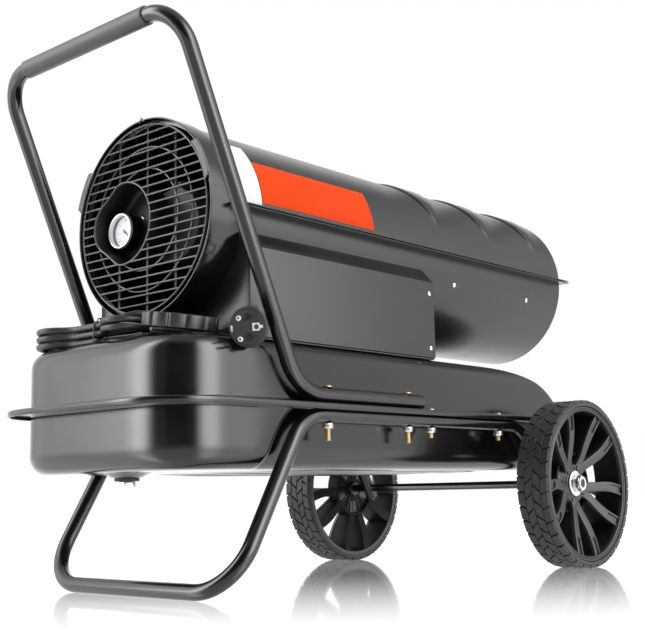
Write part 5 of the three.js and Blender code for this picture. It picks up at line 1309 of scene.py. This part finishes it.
def hank_line():
    """The tied strands, layer on layer: each near fold climbs to the next layer."""
    step = (HANK_HIGH - HANK_LOW) / (HANK_LAYERS - 1)
    line = []
    for layer in range(HANK_LAYERS):
        level = HANK_LOW + layer * step
        for k, (x, y) in enumerate(fold_points(FAR_FOLD, 1, 1, 56)):
            if layer == 0 or k:
                line.append((x, y, level))
        if layer < HANK_LAYERS - 1:
            for k, (x, y) in enumerate(fold_points(NEAR_FOLD, -1, 1, 44)):
                if k:
                    climbed = min(1, k / 44 / 0.6)
                    line.append((x, y, level + step * climbed * climbed * (3 - 2 * climbed)))
    return line


def lead_line():
    """The whole centreline, from the gland's tip to inside the plug's relief."""
    hank = hank_line()
    start = [GLAND_TIP, *TO_HANK, (-309.8, 18, HANK_LOW)]
    end = [
        (-318.2, 19, HANK_HIGH), *TO_PLUG, tuple(RELIEF_END + PLUG_EXIT * 2),
        tuple(RELIEF_END - PLUG_EXIT * 8),
    ]
    lead = [smooth_between([(-262, -30, 254.4), *start, hank[0]], t / 90) for t in range(91)]
    lead = [p for p in lead if p.x < GLAND_TIP[0] + 0.01]
    plug = [smooth_between([hank[-1], *end], t / 110) for t in range(1, 111)]
    line = [Vector(GLAND_TIP)] + lead[1:] + [Vector(p) for p in hank[1:]] + plug
    kept = [line[0]]
    for p in line[1:]:
        if (p - kept[-1]).length > 1.6:
            kept.append(p)
    return kept


def tightest(points):
    """The smallest bend radius of a line, over stretches of a few points."""
    span = 4
    least = 1e9
    for a, b, c in zip(points, points[span:], points[2 * span:]):
        area = (b - a).cross(c - a).length / 2
        if area > 1e-6:
            least = min(least, (a - b).length * (b - c).length * (c - a).length / (4 * area))
    return least


# %% Lead, tie and gland
def build_lead():
    """The lead along its line, with the tie and the gland."""
    line = lead_line()
    length = sum((b - a).length for a, b in zip(line, line[1:]))
    print("lead: %.0f mm long, tightest bend %.0f mm" % (length, tightest(line)))
    bm = bmesh.new()
    tube(bm, line, LEAD_RADIUS, 16)
    lead = keep(
        bm, "mains_lead", SHEATH, replaced=["cord_lead", "cord_hank", "cord_plug_lead"],
    )
    bm = bmesh.new()
    loop = []
    reach = WAIST + LEAD_RADIUS + 0.75
    low, high = HANK_LOW - LEAD_RADIUS - 0.7, HANK_HIGH + LEAD_RADIUS + 0.7
    corners = rounded([(-reach, low), (reach, low), (reach, high), (-reach, high)], 3.2, 8)
    for x, z in corners:
        loop.append((HANK_X + x, TIE_Y, z))
    tube(bm, loop, 0.8, 10, closed=True)
    for side in (-1, 1):
        loft = 4.32 if side > 0 else 3.24
        twist = [
            (HANK_X + side * (2.6 - 2.2 * math.cos(a)), TIE_Y + side * 1.4, high + 0.4 + loft * math.sin(a))
            for a in [math.pi * j / 14 for j in range(15)]
        ]
        tube(bm, twist, 0.7, 10, tip=0.25)
    tie = keep(bm, "wire_tie", MOULDED, replaced=["cord_tie"])
    bm = bmesh.new()
    profile = [(0, 0), (4.2, 0), (4.7, 0.4)]
    for k in range(5):
        z = 2.2 + 4.0 * k
        profile += [
            (4.9 + 0.32 * k, z), (4.9 + 0.32 * k, z + 1.1), (5.5 + 0.28 * k, z + 1.3),
            (5.6 + 0.28 * k, z + 3.2), (5.2 + 0.3 * k, z + 3.5),
        ]
    profile += [(6.5, 22.4), (7.6, 22.6), (7.8, 23.2), (7.8, 24.6), (6.4, 25.1), (0, 25.1)]
    turned(bm, profile, 32, Matrix.Translation(Vector(GLAND_TIP) * MM) @ ALONG_X)
    gland = keep(bm, "lead_gland", SHEATH, replaced=["cord_gland"])
    return lead, tie, gland, line, length


# %% [markdown]
# ## The plug
# It is a moulded two-pin plug with an earth opening, seen almost face on. Its parts are the round
# face, the tapered body with finger tabs, two pins with metal ends, the earth contact and a clip.

# %% Plug
PIN_OFFSET = 9.5


def plug_place():
    """The plug's own frame: its face looks along Z, and the line through both pins is Y."""
    up = (Vector((0, 0, 1)) - PLUG_AXIS * PLUG_AXIS.z).normalized()
    normal = -PLUG_AXIS
    right = up.cross(normal)
    turn = Matrix((right, up, normal)).transposed().to_4x4()
    return Matrix.Translation(PLUG_FACE * MM) @ turn


def build_plug():
    """The plug's body, its pins and its contacts, at the end of the lead."""
    place = plug_place()
    bm = bmesh.new()
    turned(
        bm,
        [
            (0, -25), (10.2, -25), (11.2, -24), (12.6, -20), (15.6, -6.8), (16.6, -6.3), (17.6, -6.1),
            (18.7, -5.6), (19.0, -4.8), (19.0, -0.9), (18.7, -0.3), (18.0, 0), (17.0, 0), (16.6, -0.35),
            (16.2, 0), (0, 0),
        ],
        64, place,
    )
    for turn_at in (QUARTER, -QUARTER):
        tab = slab(
            bm, rounded([(-5.5, 15.5), (5.5, 15.5), (4.6, 18.9), (-4.6, 18.9)], 1.2, 3), -17.5, -0.6,
            bevel=0.5,
        )
        bmesh.ops.transform(bm, matrix=place @ Matrix.Rotation(turn_at - QUARTER, 4, "Z"), verts=tab)
    for side in (-1, 1):
        seat = place @ Matrix.Translation((0, side * PIN_OFFSET * MM, 0))
        turned(bm, [(0, 0.0), (3.9, 0.0), (3.9, -0.2), (2.45, 0.1), (2.45, 17.2), (0, 17.2)], 24, seat)
    profile = [(0, 2)]
    for k in range(7):
        z = 15.2 + 3.6 * k
        r = 5.35 - 0.14 * k
        profile += [
            (r - 0.9, z - 0.4), (r - 0.1, z - 0.2), (r, z), (r, z + 1.5), (r - 0.1, z + 1.7),
            (r - 0.9, z + 1.9),
        ]
    profile += [(4.2, 39.5), (4.2, 40.6), (3.7, 41), (0, 41)]
    turned(bm, profile, 28, facing(*RELIEF_ROOT, PLUG_EXIT))
    body = keep(bm, "plug_moulding", SHEATH, replaced=["cord_plug"])
    bm = bmesh.new()
    for side in (-1, 1):
        seat = place @ Matrix.Translation((0, side * PIN_OFFSET * MM, 0))
        turned(
            bm,
            [
                (0, 17.25), (2.4, 17.25), (2.4, 18.3), (2.1, 18.8), (1.7, 19), (1.2, 19), (1.1, 18.2),
                (0, 18.0),
            ],
            24, seat,
        )
    metal = keep(bm, "plug_pin_ends", CONTACT)
    bm = bmesh.new()
    slab(
        bm,
        [
            (5.2, -3.6), (12.4, -3.6), (12.4, -1.8), (15.6, -1.2), (15.6, 1.2), (12.4, 1.8), (12.4, 3.6),
            (5.2, 3.6),
        ],
        -0.3, 0.22, place, 0.1, 1,
    )
    slab(bm, [(-16.4, -2.6), (-14.6, -2.6), (-14.6, 2.6), (-16.4, 2.6)], -0.3, 0.22, place, 0.1, 1)
    contacts = keep(bm, "plug_contacts", CONTACT)
    # Black discs and a slab paint shade into the plug's openings: the pins' hollow ends, a small round recess
    # on the face and the earth opening.
    bm = bmesh.new()
    turned(
        bm, [(0, 0.1), (2.3, 0.1), (2.35, 0.28), (2.2, 0.34), (0, 0.3)], 24,
        place @ Matrix.Translation((9.2 * MM, 0, 0)),
    )
    for side in (-1, 1):
        seat = place @ Matrix.Translation((0, side * PIN_OFFSET * MM, 0))
        turned(bm, [(0, 18.05), (1.05, 18.05), (1.05, 18.5), (0, 18.5)], 16, seat)
    slab(bm, [(16.9, -1.6), (19.0, -1.6), (19.0, 1.6), (16.9, 1.6)], -3.4, 0.12, place, 0.2, 1)
    holes = keep(bm, "plug_openings", PRINT_AND_SHADE_BLACK)
    return body, metal, contacts, holes


LEAD, TIE, GLAND, LEAD_LINE, LEAD_LENGTH = build_lead()
PLUG_PIECES = build_plug()

# %% [markdown]
# ## The guard and the gauge recess
# The guard is welded from straight wires, an outer ring, two inner rings and three uprights. The
# wires stop at a keyhole-shaped cup, pressed deep enough to hold the round gauge.

# %% Keyhole outline
GUARD_RING, WIRE = 98.2, 1.1
WIRE_FRONT, WIRE_BACK = -285.0 + WIRE, -283.3 + WIRE
CUP_LEVEL = 375.6
CUP_CIRCLES = ((30.5, 43.0), (50.0, 28.2))
CUP_ARCS = ((78, 282), (-68, 68))
CUP_FLOOR, CUP_ROUND, CUP_WALL = -255.0, 5.0, 1.2
GUARD_BARS, INNER_RINGS, UPRIGHTS = 21, (53, 75), (39.5, -5.5, -49)


def keyhole(grow):
    """The cup's outline as (y, z): a large arc and a small one, straight runs between, all eased.

    It has evenly spaced points and can grow by some mm.
    """
    count = 120
    points = []
    for (middle, radius), (start, end) in zip(CUP_CIRCLES, CUP_ARCS):
        for k in range(81):
            a = math.radians(start + (end - start) * k / 80)
            points.append(Vector((middle + radius * math.cos(a), radius * math.sin(a))))
    total = sum((q - p).length for p, q in zip(points, points[1:] + points[:1]))
    even, reach, travelled = [], total / count, 0.0
    for p, q in zip(points, points[1:] + points[:1]):
        span = (q - p).length
        while len(even) < count and len(even) * reach <= travelled + span:
            even.append(p.lerp(q, (len(even) * reach - travelled) / span))
        travelled += span
    for _ in range(3):
        even = [(even[i - 1] + even[i] * 2 + even[(i + 1) % count]) / 4 for i in range(count)]
    spread = []
    for i in range(count):
        way = (even[(i + 1) % count] - even[i - 1]).normalized()
        spread.append(even[i] + Vector((way.y, -way.x)) * grow)
    return [(p.x, CUP_LEVEL + p.y) for p in spread]


CUP_MARGIN = keyhole(1.0)


def keyhole_span(height):
    """Where a level line meets the cup: from and to, or nothing."""
    spans = []
    for (y0, z0), (y1, z1) in zip(CUP_MARGIN, CUP_MARGIN[1:] + CUP_MARGIN[:1]):
        if (z0 - height) * (z1 - height) < 0:
            spans.append(y0 + (y1 - y0) * (height - z0) / (z1 - z0))
    return (min(spans), max(spans)) if spans else None


def inside_keyhole(y, z):
    """Whether a spot on the guard lies in the cup, where no wire runs."""
    span = keyhole_span(z)
    return span is not None and span[0] < y < span[1]


# %% Guard wires
def wire_arc(bm, radius, x):
    """A ring of wire, left out where it would cross the cup."""
    steps = 180
    spots = [
        (x, radius * math.cos(TURN * k / steps), AXIS_HEIGHT + radius * math.sin(TURN * k / steps))
        for k in range(steps)
    ]
    free = [not inside_keyhole(y, z) for _, y, z in spots]
    start = next((i for i in range(steps) if free[i] and not free[i - 1]), None)
    if start is None:
        tube(bm, spots, WIRE, 10, closed=True)
        return
    run = []
    for k in range(steps + 1):
        i = (start + k) % steps
        if free[i] and k < steps:
            run.append(spots[i])
        elif len(run) > 1:
            tube(bm, run, WIRE, 10)
            run = []


def build_guard():
    """The rings, the level bars and the uprights, each cut off at the cup."""
    bm = bmesh.new()
    wire_arc(bm, GUARD_RING, WIRE_FRONT)
    for radius in INNER_RINGS:
        wire_arc(bm, radius, WIRE_BACK + 0.9)
    for i in range(1, GUARD_BARS):
        height = AXIS_HEIGHT - GUARD_RING + 2 * GUARD_RING * i / GUARD_BARS
        reach = math.sqrt(GUARD_RING ** 2 - (height - AXIS_HEIGHT) ** 2)
        cup = keyhole_span(height)
        runs = [(-reach, reach)] if cup is None else [(-reach, cup[0]), (cup[1], reach)]
        for start, end in runs:
            if end - start > 3:
                tube(bm, [(WIRE_FRONT, start, height), (WIRE_FRONT, end, height)], WIRE, 10)
    for y in UPRIGHTS:
        reach = math.sqrt(GUARD_RING ** 2 - y * y)
        stops = [AXIS_HEIGHT - reach + 2 * reach * k / 200 for k in range(201)]
        run = []
        for z in stops + [None]:
            if z is not None and not inside_keyhole(y, z):
                run.append(z)
            elif len(run) > 1:
                tube(bm, [(WIRE_BACK + 1.2, y, run[0]), (WIRE_BACK + 1.2, y, run[-1])], WIRE, 10)
                run = []
    rim = [(WIRE_FRONT, y, z) for y, z in keyhole(0.6)]
    tube(bm, rim, WIRE, 10, closed=True)
    keep(bm, "guard_wires", WIRE_BLACK, replaced=["fan_guard"])


def build_cup():
    """The pressed cup with its two marks, its screw and its hole."""
    bm = bmesh.new()
    bend = corner_arc(6)
    levels = [(CUP_FLOOR, -CUP_ROUND - 0.6)]
    levels += [(CUP_FLOOR - CUP_ROUND * (1 - math.cos(a)), -CUP_ROUND * (1 - math.sin(a))) for a in bend]
    levels += [(-268, 0), (-283.8, 0), (-284.2, 0.3), (-284.2, 0.9), (-283.8, CUP_WALL), (-268, CUP_WALL)]
    levels += [(CUP_FLOOR - CUP_ROUND, CUP_WALL)]
    levels += [
        (CUP_FLOOR + CUP_WALL - CUP_ROUND * (1 - math.sin(a)), CUP_WALL - CUP_ROUND * (1 - math.cos(a)))
        for a in bend[1:]
    ]
    skin(bm, [[(x, y, z) for y, z in keyhole(grow)] for x, grow in levels])
    keep(bm, "gauge_cup", CUP_BLACK, replaced=["gauge_recess"], sharp=50)
    bm = bmesh.new()
    for start, end in (((53, 385.9), (44.5, 382.1)), ((55.4, 368.0), (47.4, 365.1))):
        way = (Vector(end) - Vector(start)).normalized()
        across = Vector((-way.y, way.x)) * 0.55
        outline = [Vector(start) - across, Vector(end) - across, Vector(end) + across, Vector(start) + across]
        lifted = Matrix.Translation((CUP_FLOOR * MM, 0, 0)) @ Matrix(
            ((0, 0, -1, 0), (1, 0, 0, 0), (0, 1, 0, 0), (0, 0, 0, 1))
        )
        slab(bm, [tuple(p) for p in outline], 0.02, 0.3, lifted)
    keep(bm, "cup_marks", PRINT_PALE)
    bm = bmesh.new()
    turned(
        bm, [(0, 0.05), (2.9, 0.05), (2.9, 0.5), (2.4, 1.3), (1.2, 1.9), (0, 2.0)], 24,
        facing(CUP_FLOOR, 33.6, 387.2, (-1, 0, 0)),
    )
    keep(bm, "cup_screw", ZINC)
    # The hole is a thin black disc: painted shade where the cup is open.
    bm = bmesh.new()
    turned(
        bm, [(0, 0.02), (2.6, 0.02), (2.6, 0.12), (0, 0.12)], 24,
        facing(CUP_FLOOR, 37.1, 372.9, (-1, 0, 0)),
    )
    keep(bm, "cup_hole", PRINT_AND_SHADE_BLACK)


build_guard()
build_cup()

# %% [markdown]
# ## The temperature gauge
# A bright ring holds a flat lens in a dark case, and a white dial behind it, with a painted glow, carries
# plain ticks.
# The needle is the imported model's own, because it turns.

# %% Gauge
GAUGE_Y, GAUGE_Z = 52.0, 373.5


def build_gauge():
    """The gauge from front to back: bezel ring, case, lens, dial and ticks."""
    place = Matrix.Translation((0, GAUGE_Y * MM, GAUGE_Z * MM)) @ ALONG_X
    bm = bmesh.new()
    turned(bm, [
        (16.3, -268.3), (16.4, -270.6), (16.5, -271.5), (17.2, -272.1), (18.3, -272.2),
        (19.0, -271.7), (19.3, -270.8), (19.3, -269.6), (19.0, -269.2), (16.4, -268.2), (16.3, -268.3),
    ], 64, place)
    keep(bm, "gauge_bezel", BEZEL, replaced=["gauge_case"])
    bm = bmesh.new()
    turned(
        bm,
        [
            (0, -264.0), (16.3, -264.0), (16.4, -268.0), (18.7, -268.9), (18.9, -268.6), (18.9, -255.3),
            (0, -255.3),
        ],
        64, place,
    )
    # The case takes the painted-shade copy of the moulded plastic.
    keep(bm, "gauge_body", SHADED)
    bm = bmesh.new()
    turned(bm, [(0, -270.9), (16.35, -270.9), (16.35, -269.9), (0, -269.9)], 64, place)
    keep(bm, "gauge_window", GLASS, replaced=["gauge_lens"])
    bm = bmesh.new()
    turned(bm, [(0, -264.35), (16.2, -264.35), (16.2, -264.1), (0, -264.1)], 64, place)
    keep(bm, "gauge_dial", PAINTED_GLOW_DIAL)
    bm = bmesh.new()
    for k in range(31):
        angle = math.radians(-45 + 9 * k)
        start, half = (11.2, 0.28) if k % 5 == 0 else (12.6, 0.16)
        mark = slab(bm, [(start, -half), (14.6, -half), (14.6, half), (start, half)], -264.48, -264.36)
        bmesh.ops.transform(bm, matrix=place @ Matrix.Rotation(angle + QUARTER, 4, "Z"), verts=mark)
    keep(bm, "gauge_ticks", PRINT_AND_SHADE_BLACK)


build_gauge()

# %% [markdown]
# ## The fuel cap
# Twelve wide lobes meet in sharp grooves. The cap sits tilted on its neck, and rides on its own
# body, so it lifts off and turns.

# %% Cap
CAP_LOBES, CAP_POINTS = 12, 144
CAP_RADIUS, GROOVE_DEPTH = 36.5, 2.6
CAP_PLACE, CAP_TILT = (-0.301, -0.0786, 0.258), math.radians(9)


def cap_ring(shrink, height, roundness=0.0):
    """A lobed ring at a height in the cap's own frame; roundness 1 makes it a plain circle."""
    ring = []
    for k in range(CAP_POINTS):
        angle = TURN * k / CAP_POINTS
        wave = abs(math.sin(angle * CAP_LOBES / 2)) ** 0.38
        lobed = CAP_RADIUS - GROOVE_DEPTH * (1 - wave)
        radius = lobed + (CAP_RADIUS - 0.3 - lobed) * roundness - shrink
        ring.append((radius * math.cos(angle), radius * math.sin(angle), height))
    return ring


def build_cap():
    """The lobed cap with its inner skirt."""
    place = Matrix.Translation(CAP_PLACE) @ Matrix.Rotation(CAP_TILT, 4, "X")
    bm = bmesh.new()
    rings = [
        cap_ring(16.0, -7.0, 1), cap_ring(3.4, -7.0, 1), cap_ring(1.0, -7.0), cap_ring(0.3, -6.6),
        cap_ring(0, -5.8), cap_ring(0, 4.9), cap_ring(0.35, 6.0), cap_ring(1.1, 6.7), cap_ring(2.2, 7.0),
        cap_ring(5.4, 7.0, 1), cap_ring(9.2, 7.0, 1), cap_ring(10.0, 6.7, 1), cap_ring(10.4, 5.6, 1),
        cap_ring(11.4, 5.1, 1), cap_ring(24, 5.0, 1),
    ]
    made = skin(bm, rings)
    bmesh.ops.transform(bm, matrix=place, verts=made)
    for k in range(3):
        rib = slab(bm, rounded([(-9, -1.1), (9, -1.1), (9, 1.1), (-9, 1.1)], 1.0, 3), 4.9, 6.2, bevel=0.3)
        bmesh.ops.transform(bm, matrix=place @ Matrix.Rotation(TURN * k / 6, 4, "Z"), verts=rib)
    turned(
        bm,
        [
            (18.0, -6.9), (20.0, -6.9), (20.0, -15.6), (19.6, -16.0), (18.4, -16.0), (18.0, -15.6),
            (18.0, -6.9),
        ],
        48, place,
    )
    keep(bm, "lobed_cap", MOULDED, "cap", ["fuel_cap"], sharp=40)


build_cap()

# %% [markdown]
# ## Fasteners
# Each carriage bolt has a low domed head, a flanged nut and a rolled thread end. The shell and the
# side covers are held by small pan-head screws.

# %% Bolts and screws
HEAD_SEATS = {-162.1: 199.25, -32.3: 199.25, 8.9: 183.1, 143.4: 183.1}
NUT_TOP = 162.75


def build_bolts():
    """Heads, nuts and threads of the eight bolts through the flange."""
    heads, nuts, threads = bmesh.new(), bmesh.new(), bmesh.new()
    for x, seat in HEAD_SEATS.items():
        end = NUT_TOP - 5 - (12 if seat > 190 else 5.5)
        head = [(0, 0), (5.4, 0), (5.4, 0.5), (4.9, 0.8), (4.2, 1.5), (2.6, 2.1), (0, 2.2)]
        washer = [(3.1, -1.3), (5.2, -1.2), (5.7, -0.7), (5.7, 0), (3.1, 0), (3.1, -1.3)]
        thread, z = [(0, end), (2.2, end)], end + 0.5
        while z < NUT_TOP - 4.6:
            thread += [(2.95, z), (2.5, z + 0.5)]
            z += 1.0
        thread += [(2.6, NUT_TOP - 4.2), (0, NUT_TOP - 4.2)]
        for side in (-1, 1):
            place = Matrix.Translation((x * MM, side * HALF_TRACK * MM, 0))
            turned(heads, [(r, seat + z) for r, z in head], 24, place)
            turned(nuts, [(r, NUT_TOP + z) for r, z in washer], 24, place)
            slab(nuts, polygon(6, 5.75, 0.2), NUT_TOP - 5, NUT_TOP - 1.1, place, bevel=0.35)
            turned(threads, thread, 20, place)
    names = [
        f"{kind}_bolt_{end}_{word}"
        for kind in ("handle", "frame") for end in ("front", "rear") for word in ("near", "far")
    ]
    keep(heads, "bolt_heads", YELLOW_ZINC, replaced=names)
    keep(nuts, "bolt_nuts", ZINC)
    keep(threads, "bolt_threads", YELLOW_ZINC)


def pan_head(bm, at, way, radius=3.1):
    """A pan-head screw with a cross recess."""
    place = facing(*at, way, 0.4)
    turned(
        bm,
        [
            (0, -0.4), (radius, -0.4), (radius, 0.3), (radius * 0.93, 0.9), (radius * 0.7, 1.4),
            (radius * 0.36, 1.65), (radius * 0.3, 0.9), (0, 0.8),
        ],
        24, place,
    )


def on_shell(x, side, angle):
    """A place on the shell: the angle is in degrees above the flange."""
    a = math.radians(angle)
    way = (0, side * math.cos(a), math.sin(a))
    return (x, way[1] * SHELL_RADIUS, AXIS_HEIGHT + way[2] * SHELL_RADIUS), way


def build_screws():
    """The small screws of the shell's flanges and the console."""
    bm = bmesh.new()
    for side in (-1, 1):
        for x in (44, 351):
            pan_head(bm, (x, side * 110, AXIS_HEIGHT + 1.9), (0, 0, 1), 3.3)
        for x in (125, 291):
            pan_head(bm, *on_shell(x, side, -18.1))
        for z in (257, 321):
            pan_head(bm, (46, side * 117.05, z), (0, side, 0), 2.9)
    keep(bm, "pan_head_screws", ZINC)


build_bolts()
build_screws()

# %% [markdown]
# ## Labels
# The labels stay blank: an orange panel and a pale one, thin sheets laid on the shell's curve.

# %% Blank label panels
def label(name, material, x_from, x_to, low, high, lift):
    """A thin blank panel that follows the shell's curve, lifted off it by some mm."""
    bm = bmesh.new()
    made = bmesh.ops.create_grid(bm, x_segments=6, y_segments=28, size=1)["verts"]
    for v in made:
        x = x_from + (x_to - x_from) * (v.co.x + 1) / 2
        a = math.radians(low + (high - low) * (v.co.y + 1) / 2)
        radius = SHELL_RADIUS + lift
        v.co = Vector((x, -radius * math.cos(a), AXIS_HEIGHT + radius * math.sin(a))) * MM
    bmesh.ops.recalc_face_normals(bm, faces=bm.faces)
    bmesh.ops.solidify(bm, geom=bm.faces[:], thickness=0.12 * MM)
    return keep(bm, name, material, sharp=60)


label("orange_panel", ORANGE_LABEL, -212, -34, 5.7, 33.5, 0.3)
label("pale_panel", PALE_LABEL, -250, -213.2, 4.2, 46, 0.3)

# %% [markdown]
# ## Intake collar
# The collar is a ring of sheet steel that carries the guard, turned in one go, with a sleeve under
# the lower shell half as a skin through sections. Two spring clips, a bent tab on top and a latch
# set it off.

# %% Collar
CLIP_ANGLE, LATCH_ANGLE, COLLAR_RADIUS = 26, math.radians(-25.4), 105.2
UPRIGHT = Matrix.Translation((0, 0, AXIS_HEIGHT * MM)) @ Matrix(
    ((0, 0, 1, 0), (1, 0, 0, 0), (0, 1, 0, 0), (0, 0, 0, 1))
)


def build_collar():
    """The collar's ring and sleeve, then its trim."""
    place = Matrix.Translation((0, 0, AXIS_HEIGHT * MM)) @ ALONG_X
    bm = bmesh.new()
    turned(
        bm,
        [
            (105.3, -261.5), (105.3, -283.9), (105.15, -284.6), (104.7, -285.0), (104.1, -285.0),
            (103.7, -284.6), (103.5, -283.9), (103.5, -275.6), (103.0, -275.0), (99.9, -275.0),
            (99.5, -274.6), (99.5, -261.9), (99.9, -261.5), (105.3, -261.5),
        ],
        144, place,
    )
    sleeve = [
        (105.3, -261.7), (105.3, -246.2), (105.1, -245.6), (104.7, -245.4), (103.9, -245.4), (103.5, -245.8),
        (103.5, -261.7),
    ]
    rows = []
    for k in range(49):
        a = math.radians(188.6) + math.radians(162.8) * k / 48
        rows.append([(x, r * math.cos(a), AXIS_HEIGHT + r * math.sin(a)) for r, x in sleeve])
    skin(bm, rows)
    keep(bm, "collar_sheet", GLOSS_BLACK, replaced=["intake_collar"], sharp=40)
    bm = bmesh.new()
    tab = [
        (-4.6, 103.6), (-1.2, 104.8), (0, 107.4), (1.4, 104.8), (5, 103.6), (3.6, 101.6), (0, 104.0),
        (-3.4, 101.8),
    ]
    slab(bm, tab, -286.2, -284.4, UPRIGHT, 0.3)
    for side in (-1, 1):
        outline = []
        for radius, half in ((108.2, 11), (100.8, -13.5)):
            for k in range(9):
                a = math.radians(CLIP_ANGLE + half * (1 - k / 4))
                outline.append((side * radius * math.cos(a), radius * math.sin(a)))
        slab(bm, outline, -287.2, -285.4, UPRIGHT, 0.3)
    keep(bm, "collar_clips", CAST)
    way = Vector((0, -math.cos(LATCH_ANGLE), math.sin(LATCH_ANGLE)))
    y, z = way.y * COLLAR_RADIUS, AXIS_HEIGHT + way.z * COLLAR_RADIUS
    # The latch window is a thin black slab: painted shade in the latch's slot.
    bm = bmesh.new()
    window = rounded([(-5.4, -5.6), (5.4, -5.6), (5.4, 5.6), (-5.4, 5.6)], 0.8, 3)
    slab(bm, window, 0, 0.5, facing(-276.2, y, z, way), 0.1, 1)
    keep(bm, "latch_window", PRINT_AND_SHADE_BLACK)
    bm = bmesh.new()
    plate = rounded([(-2.6, -2.4), (2.2, -2.4), (2.2, 2.8), (-2.6, 2.8)], 0.8, 3)
    slab(bm, plate, 0.5, 1.0, facing(-277.0, y, z, way), 0.2, 1)
    keep(bm, "latch_plate", CAST)


build_collar()
